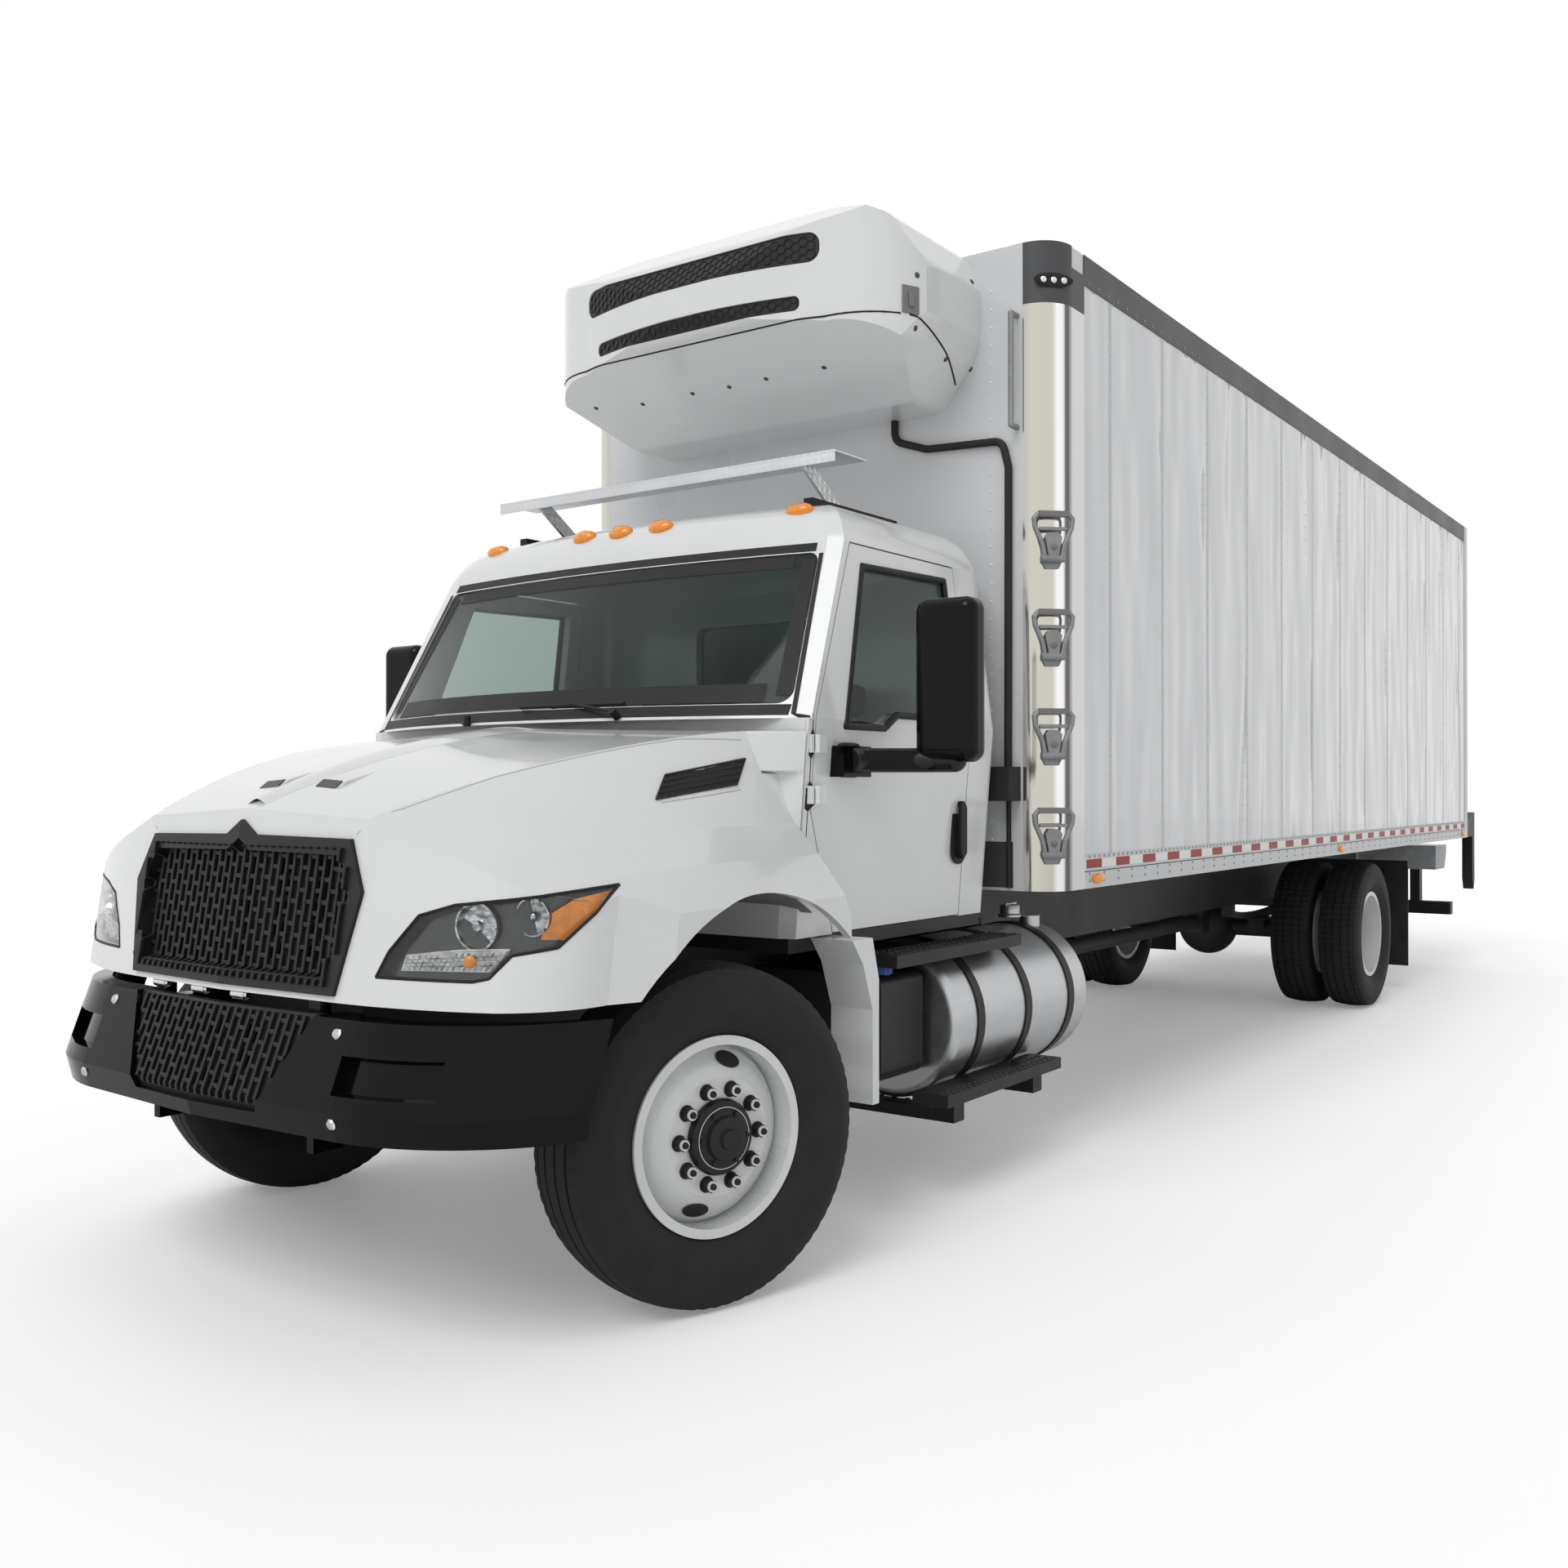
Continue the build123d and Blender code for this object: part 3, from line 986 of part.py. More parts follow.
def unit_form():
    """The whole case: the common volume of its plan, front and side outlines."""
    with BuildSketch(Plane.XY.offset(UNIT_BOTTOM - 10.0)) as plan:
        with BuildLine():
            ThreePointArc((UNIT_CHEEK, -640.0), (UNIT_NOSE, 0), (UNIT_CHEEK, 640.0))
            for side in (1, -1):
                ThreePointArc((UNIT_CHEEK, side * 640.0), (UNIT_CHEEK - 90.0, side * 860.0),
                              (UNIT_CHEEK - 260.0, side * UNIT_HALF))
                Line((UNIT_CHEEK - 260.0, side * UNIT_HALF), (BOX_FRONT, side * UNIT_HALF))
            Line((BOX_FRONT, -UNIT_HALF), (BOX_FRONT, UNIT_HALF))
        make_face()
    body = extrude(plan.sketch, amount=UNIT_TOP - UNIT_BOTTOM + 20.0, mode=Mode.PRIVATE)
    with BuildSketch(Plane.XZ.offset(-UNIT_HALF - 10.0)) as side_view:
        with BuildLine():
            Polyline(*UNIT_SIDE, close=True)
        make_face()
        fillet([spot for spot in side_view.vertices() if spot.X > BOX_FRONT + 1.0], UNIT_ROUND)
    flank = extrude(side_view.sketch, amount=2 * UNIT_HALF + 20.0, mode=Mode.PRIVATE)
    points = UNIT_FRONT_HALF + [(-y, z) for y, z in reversed(UNIT_FRONT_HALF[1:-1])]
    with BuildSketch(Plane.YZ.offset(BOX_FRONT - 10.0)) as front_view:
        with BuildLine():
            Polyline(*points, close=True)
        make_face()
        fillet(front_view.vertices(), UNIT_ROUND)
    face = extrude(front_view.sketch, amount=UNIT_NOSE - BOX_FRONT + 40.0, mode=Mode.PRIVATE)
    return body & flank & face


# Air grilles of the cooling unit, set into the front: (half width, low Z, high Z, corner radius) of each
UNIT_GRILLES = [(620.0, 3625.0, 3745.0, 50.0), (540.0, 3440.0, 3500.0, 27.0)]
UNIT_RECESS = 30.0
UNIT_GRILLE_SET = 8.0


def grille_window(half, low, high, corner, gap):
    """The opening of one grille, run through the unit from front to back and drawn smaller by a gap."""
    with BuildSketch(Plane.YZ.offset(BOX_FRONT)) as window:
        with Locations((0, (low + high) / 2)):
            RectangleRounded(2 * (half - gap), high - low - 2 * gap, corner - gap)
    return extrude(window.sketch, amount=UNIT_NOSE - BOX_FRONT + 10.0, mode=Mode.PRIVATE)


unit_body = unit_form()
recess_floor = Pos(-UNIT_RECESS, 0, 0) * unit_body
grille_face = Pos(-UNIT_GRILLE_SET, 0, 0) * unit_body
with BuildPart() as reefer_case:
    add(unit_body)
    for grille in UNIT_GRILLES:
        add(grille_window(*grille, 0.0) - recess_floor, mode=Mode.SUBTRACT)
save(reefer_case.part, "reefer_case")

with BuildPart() as reefer_grilles:
    for grille in UNIT_GRILLES:
        add((grille_window(*grille, FIT_GAP) & grille_face) - recess_floor)
save(reefer_grilles.part, "reefer_grilles")

# Fuel tank with its straps and saddles, and the steps carried by them
TANK_RADIUS = 305.0
TANK_Y = 845.0
TANK_Z = 645.0
TANK_X = (FX - 2580.0, FX - 1375.0)
TANK_EDGE = 35.0
STRAP_WIDTH = 52.0
STRAP_THICK = 6.0
STRAP_PLACES = [0.16, 0.50, 0.84]
SADDLE_Y = 700.0
STRAP_RADIUS = TANK_RADIUS + STRAP_THICK + FIT_GAP
STEP_THICK = 45.0
LOWER_STEP_X = (FX - 2150.0, FX - 1190.0)
LOWER_STEP_Z = 378.0
LOWER_DROP = TANK_Z - LOWER_STEP_Z - STEP_THICK
LOWER_STEP_Y = (TANK_Y + (STRAP_RADIUS**2 - LOWER_DROP**2) ** 0.5, 1215.0)
UPPER_STEP_X = (FX - 1915.0, FX - 940.0)
UPPER_STEP_Y = (1008.0, 1150.0)
UPPER_STEP_Z = TANK_Z + (STRAP_RADIUS**2 - (UPPER_STEP_Y[0] - TANK_Y) ** 2) ** 0.5
ARM_PLACES = [-1390.0, -2060.0]
ARM_Z = (285.0, TANK_Z - STRAP_RADIUS)
ARM_END = 1150.0
with BuildPart() as fuel_tank:
    bar_x(TANK_Y, TANK_Z, TANK_RADIUS, TANK_X)
    fillet(fuel_tank.edges().filter_by(GeomType.CIRCLE), TANK_EDGE)
    bar_z(TANK_X[0] + 95.0, TANK_Y + 60.0, 45.0, (TANK_Z + 200.0, TANK_Z + TANK_RADIUS + 30.0))
save(fuel_tank.part, "fuel_tank")

with BuildPart() as tank_saddles:
    for share in STRAP_PLACES:
        middle = TANK_X[0] + share * (TANK_X[1] - TANK_X[0])
        reach = (middle - STRAP_WIDTH / 2, middle + STRAP_WIDTH / 2)
        block(reach, (RAIL_Y, SADDLE_Y), (RAIL_BOTTOM - 300.0, RAIL_TOP - 40.0))
        bar_x(TANK_Y, TANK_Z, TANK_RADIUS + STRAP_THICK, reach)
        bar_x(TANK_Y, TANK_Z, TANK_RADIUS + FIT_GAP, reach, Mode.SUBTRACT)
save(tank_saddles.part, "tank_saddles")

# Boxes hung from the rails: battery box on the right, fluid tank ahead of the fuel tank on the left
SIDE_BOX_X = (FX - 2450.0, FX - 1150.0)
SIDE_BOX_Y = (-1120.0, -RAIL_Y)
SIDE_BOX_Z = (440.0, UPPER_STEP_Z)
SIDE_BOX_EDGE = 40.0
FLUID_X = (FX - 1340.0, FX - 1040.0)
FLUID_Y = (RAIL_Y, 1020.0)
FLUID_Z = (470.0, 860.0)
FLUID_CAP_RADIUS = 38.0
FLUID_CAP_TOP = 895.0
with BuildPart() as side_boxes:
    block(SIDE_BOX_X, SIDE_BOX_Y, SIDE_BOX_Z)
    block(FLUID_X, FLUID_Y, FLUID_Z)
    fillet(side_boxes.edges().filter_by(Axis.X), SIDE_BOX_EDGE)
    bar_z(FLUID_X[1] - 90.0, FLUID_Y[1] - 60.0, FLUID_CAP_RADIUS, (FLUID_Z[1] - 60.0, FLUID_CAP_TOP))
save(side_boxes.part, "side_boxes")

# Cab steps: the lower tread on arms from the rail, the upper tread on the tank straps or the side box
with BuildPart() as cab_steps:
    for side in (1, -1):
        tread = sorted((side * LOWER_STEP_Y[0], side * LOWER_STEP_Y[1]))
        block(LOWER_STEP_X, tread, (LOWER_STEP_Z, LOWER_STEP_Z + STEP_THICK))
        for place in ARM_PLACES:
            reach = (FX + place - 40.0, FX + place + 40.0)
            block(reach, sorted((side * (RAIL_Y - RAIL_FLANGE), side * ARM_END)), ARM_Z)
            block(reach, sorted((side * LOWER_STEP_Y[0], side * ARM_END)), (ARM_Z[0], LOWER_STEP_Z))
            block(reach, sorted((side * (RAIL_Y - RAIL_FLANGE), side * (RAIL_Y - 10.0))),
                  (ARM_Z[0], RAIL_BOTTOM))
        tread = sorted((side * UPPER_STEP_Y[0], side * UPPER_STEP_Y[1]))
        block(UPPER_STEP_X, tread, (UPPER_STEP_Z, UPPER_STEP_Z + STEP_THICK))
save(cab_steps.part, "cab_steps")

# Guard board over the cab roof: a plate with a front lip on two slanted brackets, and two roof rails
GUARD_X = (FX - 1165.0, FX - 945.0)
GUARD_HALF = 880.0
GUARD_Z = (2752.0, 2796.0)
GUARD_PLATE = 6.0
BRACKET_Y = (690.0, 702.0)
BRACKET_SIDE = [(-960.0, GUARD_Z[1] - GUARD_PLATE), (-1060.0, GUARD_Z[1] - GUARD_PLATE), (-1340.0, ROOF_Z),
                (-1240.0, ROOF_Z)]
with BuildPart() as roof_guard:
    block(GUARD_X, (-GUARD_HALF, GUARD_HALF), (GUARD_Z[1] - GUARD_PLATE, GUARD_Z[1]))
    block((GUARD_X[1] - GUARD_PLATE, GUARD_X[1]), (-GUARD_HALF, GUARD_HALF), GUARD_Z)
    for side in (1, -1):
        outline_xz([(FX + x, z) for x, z in BRACKET_SIDE], sorted((side * BRACKET_Y[0], side * BRACKET_Y[1])))
save(roof_guard.part, "roof_guard")

ROOF_RAIL_X = (FX - 1560.0, FX - 960.0)
ROOF_RAIL_Y = (732.0, 772.0)
ROOF_RAIL_HEIGHT = 34.0
with BuildPart() as roof_rails:
    for side in (1, -1):
        span = sorted((side * ROOF_RAIL_Y[0], side * ROOF_RAIL_Y[1]))
        block(ROOF_RAIL_X, span, (ROOF_Z, ROOF_Z + ROOF_RAIL_HEIGHT))
save(roof_rails.part, "roof_rails")

# Amber marker lamps along the front of the roof: (Y, X ahead of the axle) of each
MARKERS = [(-790.0, -850.0), (-200.0, -765.0), (0.0, -758.0), (200.0, -765.0), (790.0, -850.0)]
MARKER_RADIUS = 52.0
MARKER_TOP = 2552.0
MARKER_DEPTH = 48.0
TAIL_Y = (1000.0, 1160.0)
TAIL_Z = (1155.0, 1240.0)
TAIL_PROUD = 25.0
with BuildPart() as marker_lamps:
    for y, x in MARKERS:
        bar_z(FX + x, y, MARKER_RADIUS, (MARKER_TOP - MARKER_DEPTH, MARKER_TOP))
    add(cab_block(CAB_CROWN, 0.0), mode=Mode.SUBTRACT)
    # Tail lamps on the rear sill
    for side in (1, -1):
        block((BOX_REAR - TAIL_PROUD, BOX_REAR), sorted((side * TAIL_Y[0], side * TAIL_Y[1])), TAIL_Z)
save(marker_lamps.part, "marker_lamps")

# Door mirrors: a base on the door skin, an arm in plan and an upright housing
MIRROR_X = (FX - 935.0, FX - 815.0)
MIRROR_Y = (1285.0, 1520.0)
MIRROR_Z = (1640.0, 2200.0)
MIRROR_EDGE = 45.0
BASE_X = (FX - 770.0, FX - 600.0)
BASE_Z = (1590.0, 1695.0)
BASE_Y = (1060.0, 1150.0)
ARM_PLAN = [(-640.0, 1125.0), (-755.0, 1125.0), (-915.0, 1310.0), (-915.0, 1420.0), (-835.0, 1420.0),
            (-835.0, 1330.0)]
MIRROR_ARM_Z = (1615.0, 1680.0)
for side, name in ((1, "left"), (-1, "right")):
    with BuildPart() as mirror_case:
        block(MIRROR_X, sorted((side * MIRROR_Y[0], side * MIRROR_Y[1])), MIRROR_Z)
        fillet(mirror_case.edges(), MIRROR_EDGE)
        block(BASE_X, sorted((side * BASE_Y[0], side * BASE_Y[1])), BASE_Z)
        with BuildSketch(Plane.XY.offset(MIRROR_ARM_Z[0])):
            with BuildLine():
                Polyline(*[(FX + x, side * y) for x, y in ARM_PLAN], close=True)
            make_face()
        extrude(amount=MIRROR_ARM_Z[1] - MIRROR_ARM_Z[0])
        add(lower_outer, mode=Mode.SUBTRACT)
    save(mirror_case.part, f"mirror_{name}")

# Hose from the cooling unit down the front wall to the inlet box, and the lead below it
HOSE_RADIUS = 16.0
HOSE_X = BOX_FRONT + HOSE_RADIUS + FIT_GAP
HOSE_ROUTE = [(540.0, UNIT_BOTTOM), (540.0, 3060.0), (700.0, 3005.0), (1060.0, 2990.0), (1088.0, 2880.0),
              (1085.0, 1640.0)]
HOSE_BEND = 50.0
INLET_Y = (1030.0, 1135.0)
INLET_Z = (1500.0, 1640.0)
INLET_DEPTH = 105.0
LEAD_RADIUS = 10.0
LEAD_LOW = 1140.0
with BuildPart() as wall_cables:
    with BuildLine() as hose_line:
        FilletPolyline(*[(HOSE_X, y, z) for y, z in HOSE_ROUTE], radius=HOSE_BEND)
    with BuildSketch(Plane((HOSE_X, *HOSE_ROUTE[0]), z_dir=(0, 0, -1))):
        Circle(HOSE_RADIUS)
    sweep(path=hose_line.line)
    block((BOX_FRONT, BOX_FRONT + INLET_DEPTH), INLET_Y, INLET_Z)
    bar_z(BOX_FRONT + LEAD_RADIUS + FIT_GAP, HOSE_ROUTE[-1][0], LEAD_RADIUS, (LEAD_LOW, INLET_Z[0]))
save(wall_cables.part, "wall_cables")

# Folding climbing steps on the left corner post, with a grab handle above them
STEP_HEIGHTS = [2565.0, 2165.0, 1760.0, 1355.0]
FOLD_WIDTH = 165.0
FOLD_HEIGHT = 210.0
FOLD_PLATE = 105.0
FOLD_PROUD = 34.0
FOLD_LOOP = (110.0, 62.0)
GRAB_Y = 1120.0
GRAB_Z = (3040.0, 3500.0)
GRAB_REACH = 55.0
GRAB_RADIUS = 12.0
post_face = Plane((BOX_FRONT - CORNER_RADIUS + CORNER_RADIUS * cos(pi / 4),
                   POST_EDGE + CORNER_RADIUS * sin(pi / 4), 0),
                  x_dir=(-sin(pi / 4), cos(pi / 4), 0), z_dir=(cos(pi / 4), sin(pi / 4), 0))
with BuildPart() as climbing_steps:
    for height in STEP_HEIGHTS:
        with Locations(post_face):
            with Locations((0, height, 0)):
                Box(FOLD_PLATE, FOLD_HEIGHT * 1.1, 2 * FOLD_PROUD - 20.0)
                Box(FOLD_WIDTH, FOLD_HEIGHT * 0.55, 2 * FOLD_PROUD)
    for height in STEP_HEIGHTS:
        with Locations(post_face):
            with Locations((0, height + 15.0, FOLD_PROUD)):
                Box(FOLD_LOOP[0], FOLD_LOOP[1], FOLD_PROUD, mode=Mode.SUBTRACT)
    add(post, mode=Mode.SUBTRACT)
    add(Pos(-50.0, -50.0, 0) * post, mode=Mode.SUBTRACT)
    # Grab handle above the steps
    bar_z(BOX_FRONT + GRAB_REACH, GRAB_Y, GRAB_RADIUS, GRAB_Z)
    for foot in GRAB_Z:
        bar_x(GRAB_Y, foot, GRAB_RADIUS, (BOX_FRONT, BOX_FRONT + GRAB_REACH))
save(climbing_steps.part, "climbing_steps")

# Mud flaps behind the rear wheels, each hung from an arm on the rail
FLAP_X = (RX - 1000.0, RX - 990.0)
FLAP_Y = (630.0, 1210.0)
FLAP_Z = (190.0, 955.0)
FLAP_ARM = (RX - 1015.0, RX - 975.0)
with BuildPart() as mud_flaps:
    for side in (1, -1):
        block(FLAP_X, sorted((side * FLAP_Y[0], side * FLAP_Y[1])), FLAP_Z)
        block(FLAP_ARM, sorted((side * RAIL_Y, side * FLAP_Y[1])), (FLAP_Z[1] - 10.0, FLAP_Z[1] + 40.0))
save(mud_flaps.part, "mud_flaps")

# Tuck-under lift gate: the folded platform on a cross-beam, dock posts at the corners and the bar below
GATE_HALF = 1080.0
GATE_SIDE = [(200.0, 1055.0), (-225.0, 1055.0), (-225.0, 985.0), (-150.0, 850.0), (200.0, 850.0)]
DOCK_SIDE = [(0.0, 1130.0), (0.0, 1262.0), (-250.0, 1340.0), (-GATE_REACH, 1340.0), (-GATE_REACH, 750.0),
             (-290.0, 665.0),
             (-240.0, 760.0), (-240.0, 1130.0)]
DOCK_Y = (1205.0, 1290.0)
RIDE_BAR_Z = (450.0, 560.0)
RIDE_BAR_X = (BOX_REAR - 130.0, BOX_REAR - 30.0)
RIDE_BAR_HALF = 1150.0
HANGER_Y = (820.0, 900.0)
with BuildPart() as lift_gate:
    outline_xz([(BOX_REAR + x, z) for x, z in GATE_SIDE], (-GATE_HALF, GATE_HALF))
    block((BOX_REAR + 195.0, RAIL_REAR), (-RAIL_Y, RAIL_Y), (RAIL_BOTTOM, RAIL_TOP))
save(lift_gate.part, "lift_gate")

with BuildPart() as rear_bumper:
    for side in (1, -1):
        outline_xz([(BOX_REAR + x, z) for x, z in DOCK_SIDE], sorted((side * DOCK_Y[0], side * DOCK_Y[1])))
    block(RIDE_BAR_X, (-RIDE_BAR_HALF, RIDE_BAR_HALF), RIDE_BAR_Z)
    for side in (1, -1):
        block(RIDE_BAR_X, sorted((side * HANGER_Y[0], side * HANGER_Y[1])), (RIDE_BAR_Z[1], GATE_SIDE[-1][1]))
save(rear_bumper.part, "rear_bumper")

# Cab inside: dashboard, steering wheel on its column, and two seats
DASH_SIDE = [(-470.0, 1720.0), (-640.0, 1735.0), (-860.0, 1690.0), (-880.0, 1560.0), (-790.0, 1380.0),
             (-470.0, 1380.0)]
DASH_HALF = 985.0
HELM_RADIUS = 225.0
HELM_GRIP = 17.0
HELM_Y = 460.0
HELM_TILT = -55.0
HELM_PLACE = (FX - 1010.0, HELM_Y, 1650.0)
COLUMN_RADIUS = 35.0
COLUMN_LENGTH = 260.0
helm_plane = Plane(HELM_PLACE, x_dir=(0, 1, 0), z_dir=(sin(radians(HELM_TILT)), 0, cos(radians(HELM_TILT))))
with BuildPart() as dashboard:
    outline_xz([(FX + x, z) for x, z in DASH_SIDE], (-DASH_HALF, DASH_HALF))
    add(shell, mode=Mode.SUBTRACT)
    with Locations(helm_plane):
        Torus(HELM_RADIUS, HELM_GRIP)
        Box(2 * HELM_RADIUS, 60.0, 20.0)
        Cylinder(70.0, 40.0)
        Cylinder(COLUMN_RADIUS, COLUMN_LENGTH, align=(Align.CENTER, Align.CENTER, Align.MAX))
save(dashboard.part, "dashboard")

SEAT_SIDE = [(-1085.0, CAB_BOTTOM), (-1060.0, 1330.0), (-1090.0, 1365.0), (-1470.0, 1345.0),
             (-1560.0, 1990.0), (-1610.0, 1990.0),
             (-1600.0, 1300.0), (-1560.0, CAB_BOTTOM)]
SEAT_HALF = 260.0
with BuildPart() as seats:
    for middle in (HELM_Y, -HELM_Y):
        outline_xz([(FX + x, z) for x, z in SEAT_SIDE], (middle - SEAT_HALF, middle + SEAT_HALF))
save(seats.part, "seats")
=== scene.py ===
import json
import math

import bmesh
import bpy
from mathutils import Matrix, Vector
from mathutils.bvhtree import BVHTree


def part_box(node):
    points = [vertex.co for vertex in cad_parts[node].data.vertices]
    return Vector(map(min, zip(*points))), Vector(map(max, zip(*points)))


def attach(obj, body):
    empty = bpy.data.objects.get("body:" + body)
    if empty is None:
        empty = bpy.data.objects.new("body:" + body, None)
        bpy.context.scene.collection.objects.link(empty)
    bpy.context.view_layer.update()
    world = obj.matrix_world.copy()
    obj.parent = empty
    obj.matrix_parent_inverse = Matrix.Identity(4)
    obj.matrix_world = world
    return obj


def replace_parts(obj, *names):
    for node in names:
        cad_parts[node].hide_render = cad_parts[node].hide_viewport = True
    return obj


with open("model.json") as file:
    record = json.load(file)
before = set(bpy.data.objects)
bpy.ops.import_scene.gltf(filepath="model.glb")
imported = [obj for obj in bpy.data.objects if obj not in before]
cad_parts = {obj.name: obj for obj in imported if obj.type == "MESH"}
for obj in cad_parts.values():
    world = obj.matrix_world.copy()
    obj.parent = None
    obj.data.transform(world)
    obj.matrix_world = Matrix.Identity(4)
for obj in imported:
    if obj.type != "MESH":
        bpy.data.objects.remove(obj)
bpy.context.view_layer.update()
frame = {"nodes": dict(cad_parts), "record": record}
nodes = frame["nodes"]
SIDES = ((1, "left"), (-1, "right"))

# Camera of the photograph: place and view angles in the part's frame, and its lens
EYE = Vector((8.139, 3.833, 1.55))
EYE_YAW = math.radians(215.88)
EYE_PITCH = math.radians(0.19)
EYE_ROLL = math.radians(0.03)
EYE_LENS = 33.19
EYE_SENSOR = 36.0
PHOTO = 1920.0

level = math.cos(EYE_PITCH)
ahead = Vector((math.cos(EYE_YAW) * level, math.sin(EYE_YAW) * level, math.sin(EYE_PITCH)))
across = ahead.cross(Vector((0, 0, 1))).normalized()
above = across.cross(ahead)
tilt = Matrix.Rotation(EYE_ROLL, 3, ahead)
across = tilt @ across
above = tilt @ above
camera_data = bpy.data.cameras.new("photo_camera")
camera_data.lens = EYE_LENS
camera_data.sensor_width = EYE_SENSOR
camera_data.clip_end = 200.0
camera = bpy.data.objects.new("photo_camera", camera_data)
turn = Matrix((across, above, -ahead)).transposed().to_4x4()
camera.matrix_world = Matrix.Translation(EYE) @ turn
bpy.context.scene.collection.objects.link(camera)
bpy.context.scene.camera = camera
bpy.context.scene.view_settings.view_transform = "Standard"


# Materials

def mapped_noise(tree, scale, stretch=(1, 1, 1), detail=4.0, kind="ShaderNodeTexNoise"):
    """A noise texture in the part's own frame, stretched by a factor along each axis."""
    place = tree.nodes.new("ShaderNodeTexCoord")
    mapping = tree.nodes.new("ShaderNodeMapping")
    mapping.inputs["Scale"].default_value = stretch
    noise = tree.nodes.new(kind)
    noise.inputs["Scale"].default_value = scale
    if "Detail" in noise.inputs:
        noise.inputs["Detail"].default_value = detail
    tree.links.new(place.outputs["Object"], mapping.inputs["Vector"])
    tree.links.new(mapping.outputs["Vector"], noise.inputs["Vector"])
    return noise


def add_bump(tree, shader, height, strength, distance):
    """Lay one more bump over those already on the shader."""
    bump = tree.nodes.new("ShaderNodeBump")
    bump.inputs["Strength"].default_value = strength
    bump.inputs["Distance"].default_value = distance
    normal = shader.inputs["Normal"]
    if normal.is_linked:
        tree.links.new(normal.links[0].from_socket, bump.inputs["Normal"])
    tree.links.new(height, bump.inputs["Height"])
    tree.links.new(bump.outputs["Normal"], normal)


NOISE_LOW = 0.3
NOISE_HIGH = 0.7


def spread(tree, value, low, high):
    """Map the middle of a noise's values on to a range."""
    node = tree.nodes.new("ShaderNodeMapRange")
    node.inputs["From Min"].default_value = NOISE_LOW
    node.inputs["From Max"].default_value = NOISE_HIGH
    node.inputs["To Min"].default_value = low
    node.inputs["To Max"].default_value = high
    tree.links.new(value, node.inputs["Value"])
    return node.outputs["Result"]


def tint(tree, factor, dark, light):
    """Mix two colours by a 0 to 1 factor."""
    mix = tree.nodes.new("ShaderNodeMix")
    mix.data_type = "RGBA"
    mix.inputs[6].default_value = (*dark, 1)
    mix.inputs[7].default_value = (*light, 1)
    tree.links.new(factor, mix.inputs[0])
    return mix.outputs[2]


def finish(name, color, rough, metal=0.0, coat=0.0, tone=0.05, scale=3.0, stretch=(1, 1, 1), rough_span=0.06,
           grain=None, transmission=0.0, ior=1.5):
    """A procedural material whose colour and roughness drift over a noise; grain is (scale, strength, depth)."""
    mat = bpy.data.materials.new(name)
    mat.use_nodes = True
    tree = mat.node_tree
    shader = tree.nodes["Principled BSDF"]
    shader.inputs["Metallic"].default_value = metal
    shader.inputs["Coat Weight"].default_value = coat
    shader.inputs["Coat Roughness"].default_value = 0.06
    shader.inputs["Transmission Weight"].default_value = transmission
    shader.inputs["IOR"].default_value = ior
    noise = mapped_noise(tree, scale, stretch)
    drift = spread(tree, noise.outputs["Fac"], 0.0, 1.0)
    dark = [part * (1 - tone) for part in color]
    light = [min(part * (1 + tone), 1.0) for part in color]
    tree.links.new(tint(tree, drift, dark, light), shader.inputs["Base Color"])
    tree.links.new(spread(tree, noise.outputs["Fac"], max(rough - rough_span, 0.02), rough + rough_span),
                   shader.inputs["Roughness"])
    if grain:
        fine = mapped_noise(tree, grain[0], stretch)
        add_bump(tree, shader, fine.outputs["Fac"], grain[1], grain[2])
    return mat


def shader_of(mat):
    return mat.node_tree.nodes["Principled BSDF"]


def math_node(tree, operation, *values):
    """A Math node over sockets and plain numbers, as its output socket."""
    node = tree.nodes.new("ShaderNodeMath")
    node.operation = operation
    for spot, value in zip(node.inputs, values):
        if isinstance(value, float):
            spot.default_value = value
        else:
            tree.links.new(value, spot)
    return node.outputs["Value"]


white_paint = finish("white_paint", (0.70, 0.71, 0.715), 0.2, coat=0.5, tone=0.02, grain=(350.0, 0.03, 0.001))
panel_white = finish("panel_white", (0.61, 0.62, 0.635), 0.1, coat=0.6, tone=0.05, stretch=(1.6, 1.6, 0.35))
waves = mapped_noise(panel_white.node_tree, 1.0, (4.5, 4.5, 0.9), 1.0)
add_bump(panel_white.node_tree, shader_of(panel_white), waves.outputs["Fac"], 1.0, 0.055)
roof_white = finish("roof_white", (0.62, 0.63, 0.64), 0.32, coat=0.2, tone=0.05, scale=1.5,
                    grain=(40.0, 0.05, 0.002))
black_paint = finish("black_paint", (0.014, 0.014, 0.015), 0.42, tone=0.25, grain=(160.0, 0.1, 0.001))
gloss_black = finish("gloss_black", (0.003, 0.003, 0.0033), 0.1, coat=0.12, tone=0.2, grain=(300.0, 0.03, 0.001))
shader_of(gloss_black).inputs["Specular IOR Level"].default_value = 0.1
dark_plastic = finish("dark_plastic", (0.016, 0.0165, 0.018), 0.4, tone=0.15, grain=(500.0, 0.12, 0.0006))
trim_black = finish("trim_black", (0.01, 0.01, 0.011), 0.5, tone=0.2, grain=(450.0, 0.15, 0.0006))
grey_rail = finish("grey_rail", (0.5, 0.51, 0.52), 0.4, metal=0.75, tone=0.06, stretch=(0.2, 1, 6), scale=9.0,
                   grain=(60.0, 0.08, 0.001))
cap_grey = finish("cap_grey", (0.075, 0.077, 0.08), 0.42, metal=0.3, tone=0.05, grain=(200.0, 0.08, 0.001))
bright_metal = finish("bright_metal", (0.72, 0.73, 0.74), 0.1, metal=1.0, tone=0.05, stretch=(2, 2, 0.3), scale=4.0,
                      rough_span=0.05)
